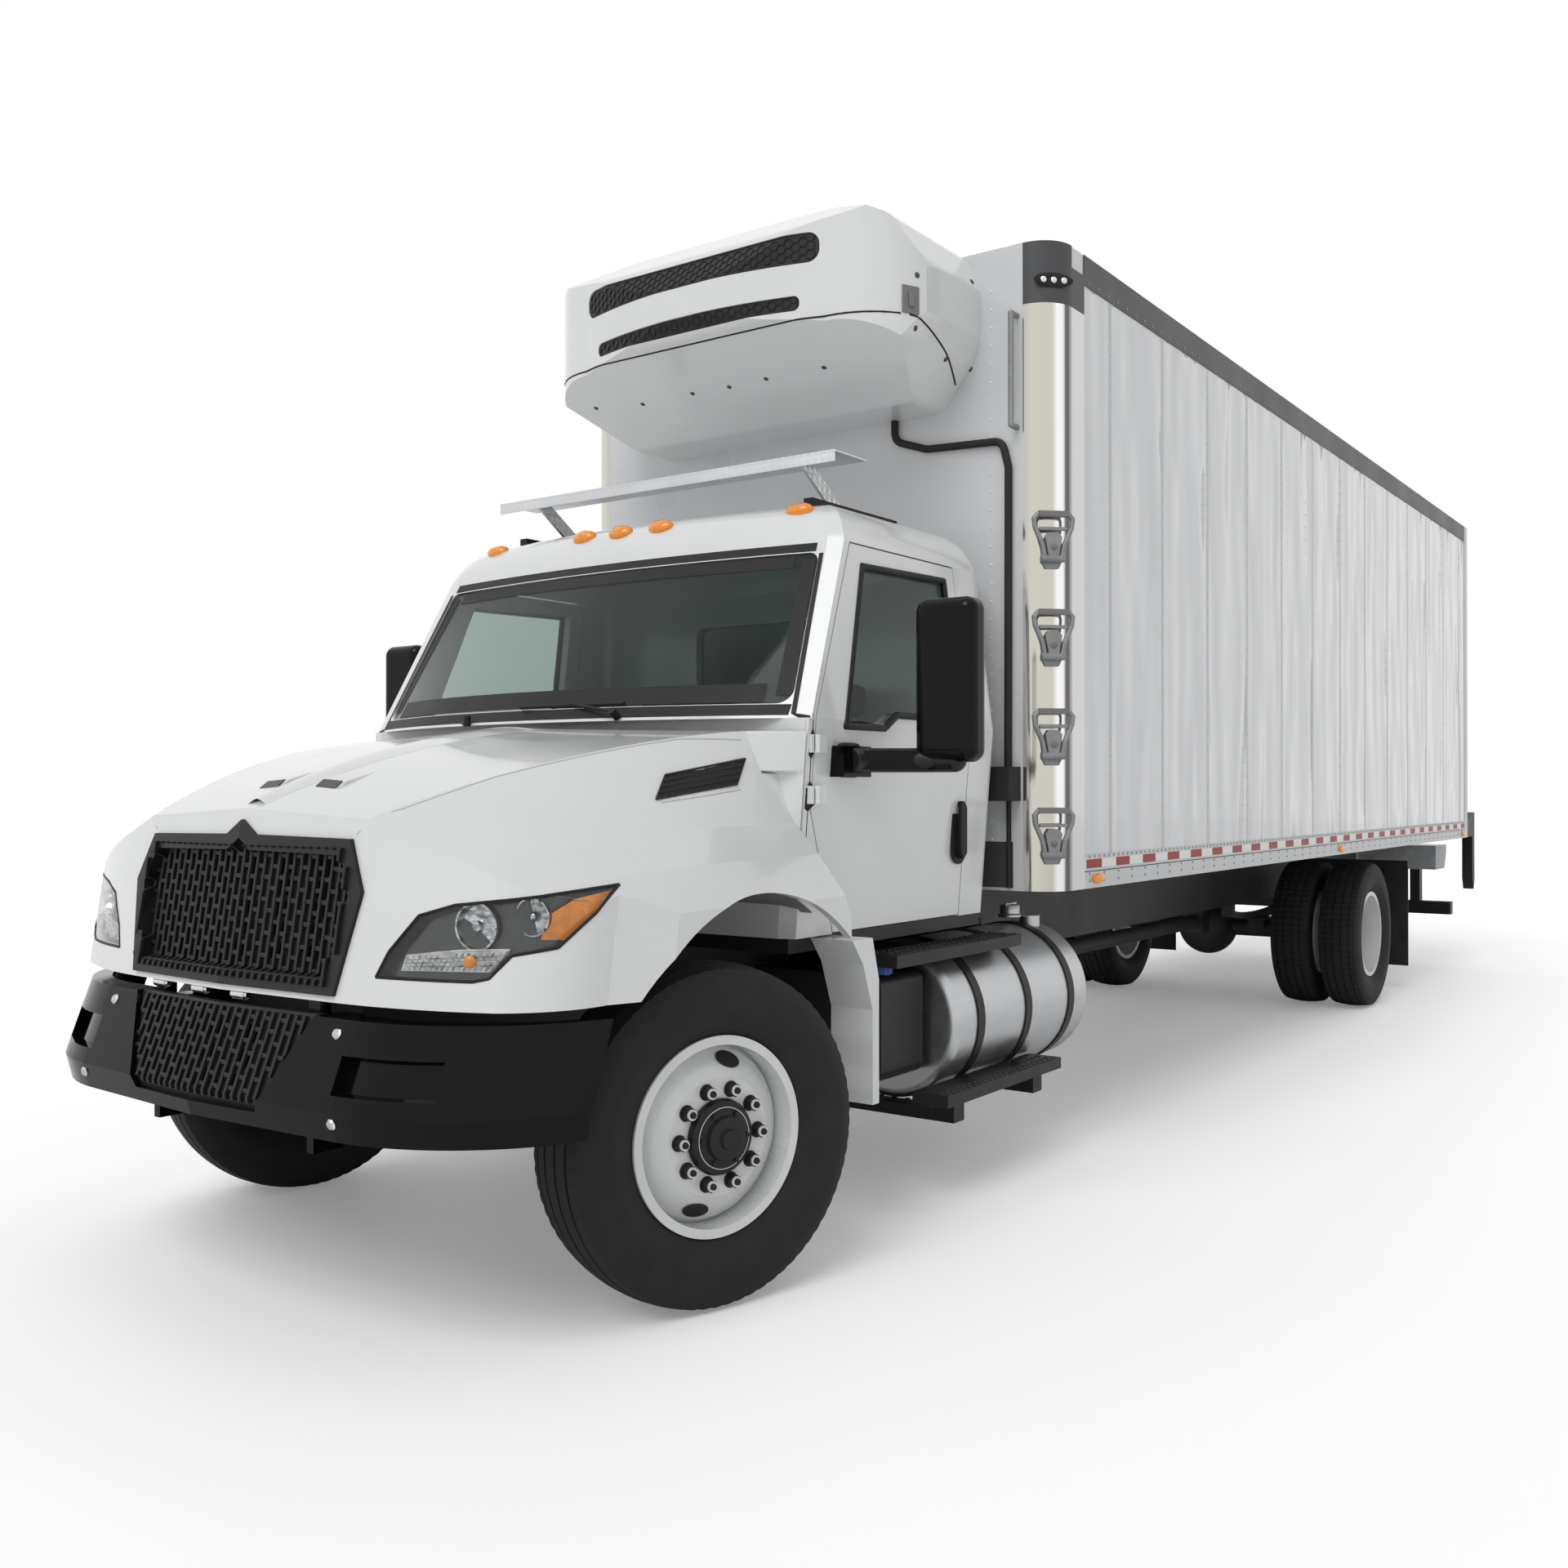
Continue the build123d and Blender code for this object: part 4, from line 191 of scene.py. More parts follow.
# Painted reflections: bands of colour round the polished posts, set by the angle of the surface normal about Z, as the
# surroundings would show in them
POST_REFLECTION_ENDS = (0.5, 0.6)
POST_REFLECTION_BANDS = ((0.15, 0.62), (0.52, 0.6), (0.62, 0.95), (0.74, 0.9), (0.8, 0.16), (0.88, 0.12))
POST_REFLECTION_WARM_TO = 0.6
band_tree = bright_metal.node_tree
band_place = band_tree.nodes.new("ShaderNodeTexCoord")
band_split = band_tree.nodes.new("ShaderNodeSeparateXYZ")
band_tree.links.new(band_place.outputs["Normal"], band_split.inputs["Vector"])
band_turn = math_node(band_tree, "ARCTAN2", band_split.outputs["Y"], band_split.outputs["X"])
band_share = math_node(band_tree, "DIVIDE", math_node(band_tree, "ABSOLUTE", band_turn), math.pi / 2)
reflection_ramp = band_tree.nodes.new("ShaderNodeValToRGB")
band_tree.links.new(band_share, reflection_ramp.inputs["Fac"])
for stop, tone in zip(reflection_ramp.color_ramp.elements, POST_REFLECTION_ENDS):
    stop.color = (tone, tone, tone, 1)
# Painted reflections: light and dark bands, warmer towards the front-facing side
for share, tone in POST_REFLECTION_BANDS:
    stop = reflection_ramp.color_ramp.elements.new(share)
    stop.color = (tone, tone * 0.97, tone * (0.86 if share < POST_REFLECTION_WARM_TO else 0.98), 1)
band_tree.links.new(reflection_ramp.outputs["Color"], shader_of(bright_metal).inputs["Base Color"])
tank_metal = finish("tank_metal", (0.52, 0.53, 0.54), 0.36, metal=1.0, tone=0.05, stretch=(1, 6, 6), scale=5.0,
                    rough_span=0.05, grain=(90.0, 0.04, 0.0006))
plate_metal = finish("plate_metal", (0.62, 0.63, 0.64), 0.34, metal=1.0, tone=0.07, rough_span=0.08)
gate_metal = finish("gate_metal", (0.5, 0.51, 0.52), 0.45, metal=0.85, tone=0.14, scale=14.0,
                    grain=(90.0, 0.12, 0.001))
cast_metal = finish("cast_metal", (0.04, 0.04, 0.041), 0.62, metal=0.2, tone=0.3, scale=8.0,
                    grain=(120.0, 0.3, 0.002))
nut_metal = finish("nut_metal", (0.018, 0.018, 0.019), 0.5, metal=0.2, tone=0.25, scale=30.0,
                   grain=(200.0, 0.2, 0.001))
wheel_paint = finish("wheel_paint", (0.68, 0.69, 0.69), 0.25, coat=0.3, tone=0.03, scale=6.0,
                     grain=(250.0, 0.05, 0.001))
tyre_rubber = finish("tyre_rubber", (0.016, 0.016, 0.0165), 0.7, tone=0.3, scale=12.0, grain=(300.0, 0.25, 0.001))
flap_rubber = finish("flap_rubber", (0.02, 0.02, 0.02), 0.6, tone=0.25, scale=10.0, grain=(220.0, 0.2, 0.001))
lens_clear = finish("lens_clear", (0.95, 0.96, 0.96), 0.03, tone=0.01, rough_span=0.01, transmission=1.0, ior=1.3)
amber_lens = finish("amber_lens", (0.85, 0.27, 0.01), 0.2, coat=0.4, tone=0.15, scale=60.0, grain=(120.0, 0.2, 0.001))
red_lens = finish("red_lens", (0.55, 0.015, 0.01), 0.2, coat=0.4, tone=0.15, scale=60.0, grain=(120.0, 0.2, 0.001))
tape_red = finish("tape_red", (0.3, 0.008, 0.012), 0.35, tone=0.12, scale=80.0, grain=(400.0, 0.15, 0.0005))
tape_white = finish("tape_white", (0.75, 0.75, 0.74), 0.35, tone=0.05, scale=80.0, grain=(400.0, 0.15, 0.0005))
cap_blue = finish("cap_blue", (0.02, 0.09, 0.36), 0.4, tone=0.15, scale=60.0, grain=(200.0, 0.1, 0.001))
mirror_glass = finish("mirror_glass", (0.7, 0.71, 0.72), 0.03, metal=1.0, tone=0.02, rough_span=0.01)
# Grey for the box's seams and rivets, and as painted shade along the hood's creases
seam_and_shade_grey = finish("seam_and_shade_grey", (0.46, 0.47, 0.48), 0.2, coat=0.3, tone=0.05)
trim_grey = finish("trim_grey", (0.17, 0.17, 0.175), 0.55, tone=0.12, grain=(350.0, 0.2, 0.0008))
seat_fabric = finish("seat_fabric", (0.075, 0.075, 0.08), 0.85, tone=0.25, scale=120.0, grain=(900.0, 0.08, 0.0004))
step_grey = finish("step_grey", (0.25, 0.255, 0.26), 0.5, metal=0.4, tone=0.12, scale=20.0, grain=(260.0, 0.2, 0.001))

glass = finish("glass", (0.5, 0.57, 0.55), 0.025, tone=0.01, rough_span=0.01, transmission=1.0, ior=1.2)

# Tread plate: a regular raised pattern
plate_tree = plate_metal.node_tree
checks = mapped_noise(plate_tree, 30.0, (1, 1, 1), kind="ShaderNodeTexVoronoi")
checks.feature = "DISTANCE_TO_EDGE"
checks.inputs["Randomness"].default_value = 0.0
add_bump(plate_tree, shader_of(plate_metal), checks.outputs["Distance"], 1.0, 0.012)

# Dark finishes take little of the pale surroundings
DARK_SPECULAR = 0.25
for mat in (black_paint, dark_plastic, trim_black, tyre_rubber, flap_rubber, cap_grey, nut_metal, tape_red):
    shader_of(mat).inputs["Specular IOR Level"].default_value = DARK_SPECULAR

SLOT_FINISH = {
    "white_paint": white_paint, "black_paint": black_paint, "gloss_black": gloss_black, "dark_plastic": dark_plastic,
    "grey_rail": grey_rail, "bright_metal": bright_metal, "tank_metal": tank_metal, "plate_metal": plate_metal,
    "gate_metal": gate_metal, "cast_metal": cast_metal, "wheel_paint": wheel_paint, "tyre": tyre_rubber,
    "flap_rubber": flap_rubber, "glass": glass, "lamp_lens": lens_clear, "amber_lens": amber_lens,
    "panel_white": panel_white, "trim_grey": trim_grey, "seat_fabric": seat_fabric,
}
NODE_FINISH = {
    "climbing_steps": step_grey, "box_top_rails": cap_grey, "roof_rails": trim_black, "box_roof": roof_white,
    "box_front_wall": roof_white,
}
slot_of = {part["node"]: part["material_slot"] for part in frame["record"]["subparts"]}
for node_name, node in nodes.items():
    node.data.materials.clear()
    node.data.materials.append(NODE_FINISH.get(node_name, SLOT_FINISH[slot_of[node_name]]))


# Mesh tools

def facing(spot, normal):
    """Frame on a spot with Z along a normal."""
    return Matrix.Translation(Vector(spot)) @ Vector(normal).to_track_quat("Z", "Y").to_matrix().to_4x4()


def around(radius, count, along=0.0):
    """Places evenly round a circle about Z."""
    turns = [2 * math.pi * index / count for index in range(count)]
    return [Vector((radius * math.cos(turn), radius * math.sin(turn), along)) for turn in turns]


def even(count):
    """Even shares from 0 to 1."""
    return [step / count for step in range(count + 1)]


def between(span, share):
    """A value at a share of the way between two."""
    return span[0] + (span[1] - span[0]) * share


class Pile:
    """Collects simple shapes in one mesh and hands it over as a piece of the truck."""

    def __init__(self):
        self.bm = bmesh.new()

    def box(self, low, high, frame_matrix=None):
        low, high = Vector(low), Vector(high)
        place = Matrix.Translation((low + high) / 2) @ Matrix.Diagonal((*(high - low), 1))
        bmesh.ops.create_cube(self.bm, size=1.0, matrix=(frame_matrix or Matrix()) @ place)

    def rod(self, start, end, radius, sides=20, tip=None):
        start, end = Vector(start), Vector(end)
        run = end - start
        place = facing((start + end) / 2, run)
        bmesh.ops.create_cone(self.bm, cap_ends=True, segments=sides, radius1=radius,
                              radius2=radius if tip is None else tip, depth=run.length, matrix=place)

    def lathe(self, outline, frame_matrix, sides=64):
        """Turn (radius, offset) points about the frame's Z axis, and close both ends."""
        self.hull([[frame_matrix @ spot for spot in around(radius, sides, along)] for radius, along in outline])

    def hull(self, rows):
        """A closed skin through rings of points."""
        rings = self.grid(rows, True)
        self.bm.faces.new(list(reversed(rings[0])))
        self.bm.faces.new(rings[-1])

    def grid(self, rows, loop=False, wrap=False):
        """A sheet through rows of points; a loop joins each row's ends, a wrap the last row to the first."""
        rows = [[self.bm.verts.new(point) for point in row] for row in rows]
        for row, following in zip(rows, rows[1:] + rows[:1] if wrap else rows[1:]):
            for index in range(len(row) if loop else len(row) - 1):
                step = (index + 1) % len(row)
                self.bm.faces.new((row[index], row[step], following[step], following[index]))
        return rows

    def plate(self, points, rise):
        """A flat or gently bent outline of points, raised by a vector."""
        rise = Vector(rise)
        self.hull([points, [Vector(point) + rise for point in points]])

    def dome(self, centre, normal, radius, height, sides=10):
        """A low round head, such as a rivet's, standing on a surface."""
        outline = [(radius, -0.0005), (radius, height * 0.25), (radius * 0.75, height * 0.8), (radius * 0.3, height)]
        self.lathe(outline, facing(centre, normal), sides)

    def tube(self, points, radius, sides=12):
        """A round tube through points, with rounded joints."""
        for start, end in zip(points, points[1:]):
            self.rod(start, end, radius, sides)
        for point in points[1:-1]:
            self.ball(point, radius, sides)

    def ball(self, centre, radius, sides, bands=8):
        bmesh.ops.create_uvsphere(self.bm, u_segments=sides, v_segments=bands, radius=radius,
                                  matrix=Matrix.Translation(Vector(centre)))

    def done(self, name, body, slot, mat, bevel=0.0, smooth=35.0):
        bmesh.ops.recalc_face_normals(self.bm, faces=self.bm.faces)
        limit = math.radians(smooth)
        for edge in self.bm.edges:
            edge.smooth = len(edge.link_faces) == 2 and edge.calc_face_angle(0.0) < limit
        for face in self.bm.faces:
            face.smooth = True
        mesh = bpy.data.meshes.new(name)
        self.bm.to_mesh(mesh)
        self.bm.free()
        piece = bpy.data.objects.new(name, mesh)
        bpy.context.scene.collection.objects.link(piece)
        mesh.materials.append(mat)
        if bevel:
            soften = piece.modifiers.new("soften", "BEVEL")
            soften.width = bevel
            soften.segments = 2
            soften.limit_method = "ANGLE"
            soften.angle_limit = math.radians(40)
        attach(piece, body)
        return piece


trees = {}


def surface(node):
    """Search tree of a CAD node's mesh."""
    if node not in trees:
        mesh = nodes[node].data
        trees[node] = BVHTree.FromPolygons([v.co for v in mesh.vertices], [p.vertices for p in mesh.polygons])
    return trees[node]


SIGHT_STEP = 0.02
SIGHT_STEPS = 500


def seen(node, pixel):
    """Point and normal where the photograph's pixel falls on a node, or the nearest place to its line of sight."""
    view = camera_data.sensor_width / camera_data.lens / PHOTO
    aim = ahead + across * (pixel[0] - PHOTO / 2) * view + above * (PHOTO / 2 - pixel[1]) * view
    aim.normalize()
    point, normal, index, distance = surface(node).ray_cast(EYE, aim)
    if point is None:
        tries = [surface(node).find_nearest(EYE + aim * SIGHT_STEP * step) for step in range(SIGHT_STEPS)]
        point, normal, index, distance = min(tries, key=lambda found: found[3])
    return point, normal


def beside(node, x, z, side=1):
    """Point and normal on a node's outer side at a place in side view."""
    point, normal, index, distance = surface(node).ray_cast(Vector((x, side * 3.0, z)), Vector((0, -side, 0)))
    return point, normal


def flip(points, side):
    return [Vector((p[0], side * p[1], p[2])) for p in points]


def sighted(node, pixel, side):
    """Point and normal where a pixel falls on a node, mirrored for the right side."""
    return flip(seen(node, pixel), side)


# Wheels and tyres
FX = 4.686
RX = -2.664
TYRE_RADIUS = 0.515
TYRE_WIDTH = 0.279
TYRE_CROWN = 0.014
TREAD_HALF = TYRE_WIDTH / 2 - 0.024
BEAD_HALF = 0.0947
BEAD_RADIUS = 0.2863
RIM_CLEAR = 0.302
GROOVES = (-0.078, -0.028, 0.028, 0.078)
GROOVE_WIDTH = 0.009
GROOVE_DEPTH = 0.012
LUG_COUNT = 72
LUG_DEPTH = 0.0025
BLOCK_DEPTH = 0.009
STUD_CIRCLE = 0.1429
STUD_COUNT = 10
KINGPIN_Y = 0.885
PARKED = math.radians(-16.0)
FRONT_FACE = 1.165
REAR_FACE = 1.181
RIM_WIDTH = 0.21
DUAL_SPACING = 0.33


def arc(start, middle, end, count):
    """Points on the circle through three (radius, offset) places, without the first."""
    ax, ay = start
    bx, by = middle
    cx, cy = end
    d = 2 * (ax * (by - cy) + bx * (cy - ay) + cx * (ay - by))
    ux = ((ax**2 + ay**2) * (by - cy) + (bx**2 + by**2) * (cy - ay) + (cx**2 + cy**2) * (ay - by)) / d
    uy = ((ax**2 + ay**2) * (cx - bx) + (bx**2 + by**2) * (ax - cx) + (cx**2 + cy**2) * (bx - ax)) / d
    radius = math.hypot(ax - ux, ay - uy)
    first = math.atan2(ay - uy, ax - ux)
    last = math.atan2(cy - uy, cx - ux)
    sweep = (last - first + math.pi) % (2 * math.pi) - math.pi
    turns = [first + sweep * step / count for step in range(1, count + 1)]
    return [(ux + radius * math.cos(turn), uy + radius * math.sin(turn)) for turn in turns]


def tread_radius(along):
    return TYRE_RADIUS - TYRE_CROWN * (along / TREAD_HALF) ** 2


def tyre_outline():
    """Closed section of a tyre with grooves, wall rings and beads, as (radius, offset, shoulder)."""
    edge = TYRE_RADIUS - TYRE_CROWN
    bulge = (BEAD_RADIUS + edge) / 2 + 0.015
    tread = [(edge, -TREAD_HALF, True), (tread_radius(-0.092), -0.092, True)]
    for groove in GROOVES:
        for shift, drop in ((-0.5, 0), (-0.35, 1), (0.35, 1), (0.5, 0)):
            along = groove + shift * GROOVE_WIDTH
            tread.append((tread_radius(along) - drop * GROOVE_DEPTH, along, False))
    tread += [(tread_radius(0.092), 0.092, True), (edge, TREAD_HALF, True)]
    wall = arc((edge, TREAD_HALF), (bulge, TYRE_WIDTH / 2), (RIM_CLEAR, BEAD_HALF), 12)
    wall = [(r, a - (0.0025 if index in (3, 4, 8, 9) else 0.0), False) for index, (r, a) in enumerate(wall)]
    other = [(r, -a, shoulder) for r, a, shoulder in reversed(wall)]
    return tread + wall + [(BEAD_RADIUS, BEAD_HALF, False), (BEAD_RADIUS, -BEAD_HALF, False)] + other


def add_tyre(pile, place, lug_depth, blocks=False):
    """One tyre about the place's Z axis, with lugs notched into its shoulders, or blocks across its tread."""
    outline = tyre_outline()
    rings = []
    for index, spoke in enumerate(around(1.0, LUG_COUNT * 3)):
        notch = lug_depth if index % 3 == 0 else 0.0
        ring = []
        for radius, along, shoulder in outline:
            cut = shoulder or (blocks and radius > TYRE_RADIUS - GROOVE_DEPTH and abs(along) < TREAD_HALF)
            ring.append(place @ (spoke * (radius - (notch if cut else 0.0)) + Vector((0, 0, along))))
        rings.append(ring)
    pile.grid(rings, True, True)


def axle_frame(x, y, side, steer=None):
    """Frame on a wheel's axle with Z outward; a steered wheel is turned about its kingpin."""
    frame_matrix = Matrix.Translation((x, side * y, TYRE_RADIUS)) @ Matrix.Rotation(-side * math.pi / 2, 4, "X")
    if steer is not None:
        pin = Matrix.Translation((x, side * KINGPIN_Y, 0))
        frame_matrix = pin @ Matrix.Rotation(steer, 4, "Z") @ pin.inverted() @ frame_matrix
    return frame_matrix


NUT_RADIUS = 0.021
NUT_HEIGHT = 0.028
HOLE_RADIUS = 0.226
HOLE_ANGLES = (75, 255)
HOLE_LEAN = math.radians(39)
REAR_DISC_Y = 0.912


def add_nuts(pile, place, base):
    """Ten flanged nuts on their studs, standing on a disc at an offset."""
    out = place.to_3x3() @ Vector((0, 0, 1))
    for spot in around(STUD_CIRCLE, STUD_COUNT, base):
        foot = place @ spot
        pile.rod(foot, foot + out * 0.006, NUT_RADIUS * 1.2, 18, NUT_RADIUS * 1.1)
        pile.rod(foot + out * 0.006, foot + out * NUT_HEIGHT, NUT_RADIUS, 6)
        pile.rod(foot + out * NUT_HEIGHT, foot + out * (NUT_HEIGHT + 0.014), 0.0115, 14, 0.009)


def add_hand_hole_shade(pile, place, angle, radius, along, lean):
    """A dark oval laid on the wheel's coned disc: painted shade standing for an opening through it."""
    spin = Matrix.Rotation(angle, 4, "Z")
    seat = place @ spin @ Matrix.Translation((radius, 0, along)) @ Matrix.Rotation(lean, 4, "Y")
    pile.lathe([(1.0, -0.0005), (1.0, 0.0012), (0.6, 0.0012)], seat @ Matrix.Diagonal((0.029, 0.045, 1, 1)), 28)


for side, name in SIDES:
    front = axle_frame(FX, FRONT_FACE, side, PARKED)
    tread = Pile()
    add_tyre(tread, front @ Matrix.Translation((0, 0, -RIM_WIDTH / 2)), LUG_DEPTH)
    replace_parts(tread.done(f"tread_front_{name}", f"wheel_front_{name}", "tyre", tyre_rubber), f"tyre_front_{name}")
    trim = Pile()
    add_nuts(trim, front, -0.006)
    trim.done(f"nuts_front_{name}", f"wheel_front_{name}", "cast_metal", nut_metal, 0.001)
    hub = Pile()
    hub.lathe([(0.112, -0.008), (0.114, 0.004), (0.108, 0.016), (0.09, 0.024), (0.067, 0.028), (0.064, 0.043),
               (0.054, 0.047), (0.03, 0.047), (0.027, 0.056), (0.008, 0.057)], front, 48)
    for spot in around(0.08, 6, 0.026):
        hub.rod(front @ spot, front @ (spot + Vector((0, 0, 0.008))), 0.008, 6)
    hub.done(f"hub_front_{name}", f"wheel_front_{name}", "cast_metal", black_paint)
    # Painted shade: dark ovals standing for the wheel's hand holes
    holes = Pile()
    for angle in HOLE_ANGLES:
        add_hand_hole_shade(holes, front, math.radians(angle), HOLE_RADIUS, -0.0425, HOLE_LEAN)
    holes.done(f"hand_hole_shades_front_{name}", f"wheel_front_{name}", "black_paint", black_paint)

    tread = Pile()
    for middle in (RIM_WIDTH / 2, RIM_WIDTH / 2 + DUAL_SPACING):
        add_tyre(tread, axle_frame(RX, REAR_FACE - middle, side), BLOCK_DEPTH, True)
    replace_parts(tread.done(f"tread_rear_{name}", f"wheels_rear_{name}", "tyre", tyre_rubber), f"tyres_rear_{name}")
    rear = axle_frame(RX, REAR_DISC_Y, side)
    trim = Pile()
    add_nuts(trim, rear, 0.014)
    trim.done(f"nuts_rear_{name}", f"wheels_rear_{name}", "cast_metal", nut_metal, 0.001)
    hub = Pile()
    hub.lathe([(0.113, 0.014), (0.1135, 0.09), (0.113, 0.112), (0.1, 0.124), (0.03, 0.126)], rear, 48)
    for spot in around(0.088, 8, 0.122):
        hub.rod(rear @ spot, rear @ (spot + Vector((0, 0, 0.012))), 0.011, 6)
    hub.done(f"hub_rear_{name}", f"wheels_rear_{name}", "cast_metal", black_paint)

# Load box: rivets, seams, reflective tape, rail groove and side lamps
BOX_HALF = 1.2955
BOX_FRONT = 2.746
BOX_REAR = -5.451
WALL_FRONT = 2.473
WALL_REAR = -5.341
WALL_FACE = 1.2905
RAIL_LOW = 1.128
RAIL_HIGH = 1.27
TOP_RAIL_LOW = 3.671
RIVET_RADIUS = 0.0065
RIVET_HEIGHT = 0.0028
SEAM_PITCH = 0.6096
SEAM_COUNT = 12
RIVET_PITCH = 0.0762
RAIL_ROWS = ((RAIL_LOW + 0.03, 0.1524), (RAIL_LOW + 0.062, 0.1524), (RAIL_HIGH - 0.008, 0.0508),
             (TOP_RAIL_LOW + 0.02, 0.1016))
SEAMS = [WALL_FRONT - 0.28 - seam * SEAM_PITCH for seam in range(SEAM_COUNT + 1)]
SIDE_LAMPS = (WALL_FRONT - 0.13, -1.45, WALL_REAR + 0.1)
BAND_Z = (1.213, 1.25)
BAND_RED = 0.1524
BAND_WHITE = 0.1524

for side, name in SIDES:
    rivets = Pile()
    out = Vector((0, side, 0))
    for x in SEAMS:
        for row in range(int((TOP_RAIL_LOW - RAIL_HIGH - 0.06) / RIVET_PITCH) + 1):
            z = RAIL_HIGH + 0.04 + row * RIVET_PITCH
            rivets.dome((x, side * WALL_FACE, z), out, RIVET_RADIUS, RIVET_HEIGHT, 8)
    rivets.done(f"box_rivets_{name}", "chassis", "panel_white", seam_and_shade_grey)

    bolts = Pile()
    for rail, pitch in RAIL_ROWS:
        for step in range(int((WALL_FRONT - WALL_REAR) / pitch)):
            x = WALL_FRONT - 0.05 - step * pitch
            bolts.dome((x, side * BOX_HALF, rail), out, RIVET_RADIUS, RIVET_HEIGHT, 8)
    bolts.done(f"rail_rivets_{name}", "chassis", "grey_rail", step_grey)

    seams = Pile()
    for x in SEAMS:
        face = side * WALL_FACE
        seams.box((x - 0.016, face - 0.0008, RAIL_HIGH), (x + 0.016, face + 0.0008, TOP_RAIL_LOW))
    seams.done(f"box_seams_{name}", "chassis", "panel_white", seam_and_shade_grey, 0.0004)

    red = Pile()
    white = Pile()
    x = WALL_FRONT - 0.02
    while x - BAND_RED > WALL_REAR:
        face = sorted((side * BOX_HALF, side * (BOX_HALF + 0.0012)))
        red.box((x - BAND_RED, face[0], BAND_Z[0]), (x, face[1], BAND_Z[1]))
        end = max(x - BAND_RED - BAND_WHITE, WALL_REAR)
        white.box((end, face[0], BAND_Z[0]), (x - BAND_RED, face[1], BAND_Z[1]))
        x -= BAND_RED + BAND_WHITE
    red.done(f"tape_red_{name}", "chassis", "amber_lens", tape_red)
    white.done(f"tape_white_{name}", "chassis", "panel_white", tape_white)

    groove = Pile()
    low = sorted((side * (BOX_HALF - 0.001), side * (BOX_HALF + 0.0006)))
    groove.box((WALL_REAR, low[0], RAIL_LOW + 0.07), (WALL_FRONT, low[1], RAIL_LOW + 0.074))
    groove.done(f"rail_groove_{name}", "chassis", "grey_rail", trim_black)

    lamps = Pile()
    for x in SIDE_LAMPS:
        place = Matrix.Translation((x, side * BOX_HALF, RAIL_LOW + 0.038))
        place = place @ Matrix.Rotation(-side * math.pi / 2, 4, "X") @ Matrix.Diagonal((0.052, 0.022, 0.018, 1))
        lamps.lathe([(1.0, 0.0), (1.0, 0.35), (0.85, 0.8), (0.5, 1.0)], place, 24)
    lamps.done(f"side_lamps_{name}", "chassis", "amber_lens", amber_lens)

# Front wall: rivets up both edges
FRONT_RIVET_LOW = 1.34
FRONT_RIVET_ROWS = 31
FRONT_RIVET_Y = (-1.1, 1.0)
rivets = Pile()
for z in [FRONT_RIVET_LOW + RIVET_PITCH * row for row in range(FRONT_RIVET_ROWS)]:
    for y in FRONT_RIVET_Y:
        rivets.dome((BOX_FRONT, y, z), (1, 0, 0), RIVET_RADIUS, RIVET_HEIGHT, 8)
rivets.done("front_wall_rivets", "chassis", "panel_white", white_paint)

# Headlamps: a clear shell over a dark pan with two bright bowls, an amber side lamp and a clear strip
LAMP_AIM = Vector((math.cos(math.radians(36)), math.sin(math.radians(36)), 0))
LENS_THICK = 0.004
PAN_DEPTH = 0.04
BOWLS = [((583, 1136), 0.062), ((652, 1124), 0.05)]
BOWL_DEPTH = 0.034
BOWL_OUTLINE = [(1.0, -0.004), (1.06, 0.014), (0.97, 0.014), (0.86, -0.004), (0.66, -0.02), (0.4, -0.03), (0.3, -0.03),
                (0.28, 0.0), (0.2, 0.012), (0.06, 0.016)]
FACE_DEPTH = 0.03
FACE_THICK = 0.014
RIB_INSET = 0.015
BEAD_DEPTH = 0.016
AMBER_PIXELS = [(660, 1152), (672, 1120), (702, 1102), (748, 1091), (727, 1119), (708, 1143), (690, 1152)]
STRIP_CORNERS = [(492, 1189), (600, 1190), (498, 1172), (620, 1166)]
STRIP_BARS = 16
BEAD_PIXEL = (574, 1179)
STRIP_PIXELS = [(489, 1190), (496, 1170), (560, 1164), (624, 1163), (614, 1186), (598, 1192)]
bowl_metal = finish("bowl_metal", (0.4, 0.41, 0.42), 0.1, metal=1.0, tone=0.85, scale=34.0, stretch=(1, 1, 2.2),
                    rough_span=0.05)
pan_grey = finish("pan_grey", (0.03, 0.031, 0.034), 0.2, coat=0.4, tone=0.4, scale=9.0)
strip_clear = finish("strip_clear", (0.62, 0.62, 0.6), 0.15, coat=0.4, tone=0.35, scale=30.0)
ribs = mapped_noise(bowl_metal.node_tree, 60.0, (0.2, 1, 1), 1.0)
add_bump(bowl_metal.node_tree, shader_of(bowl_metal), ribs.outputs["Fac"], 0.15, 0.002)


def lamp_skin(side, depth):
    """The lamp's outward faces, moved in by a depth, as a new mesh."""
    skin = bmesh.new()
    skin.from_mesh(nodes["headlamps"].data)
    aim = Vector((LAMP_AIM.x, side * LAMP_AIM.y, 0))
    away = [f for f in skin.faces if f.calc_center_median().y * side < 0 or f.normal.dot(aim) < 0.25]
    bmesh.ops.delete(skin, geom=away, context="FACES")
    bmesh.ops.remove_doubles(skin, verts=skin.verts, dist=0.0002)
    bmesh.ops.translate(skin, verts=skin.verts, vec=-aim * depth)
    return skin


def solid(piece, thick):
    """Give a sheet a thickness on its inner side."""
    thicken = piece.modifiers.new("thicken", "SOLIDIFY")
    thicken.thickness = thick
    thicken.offset = -1.0


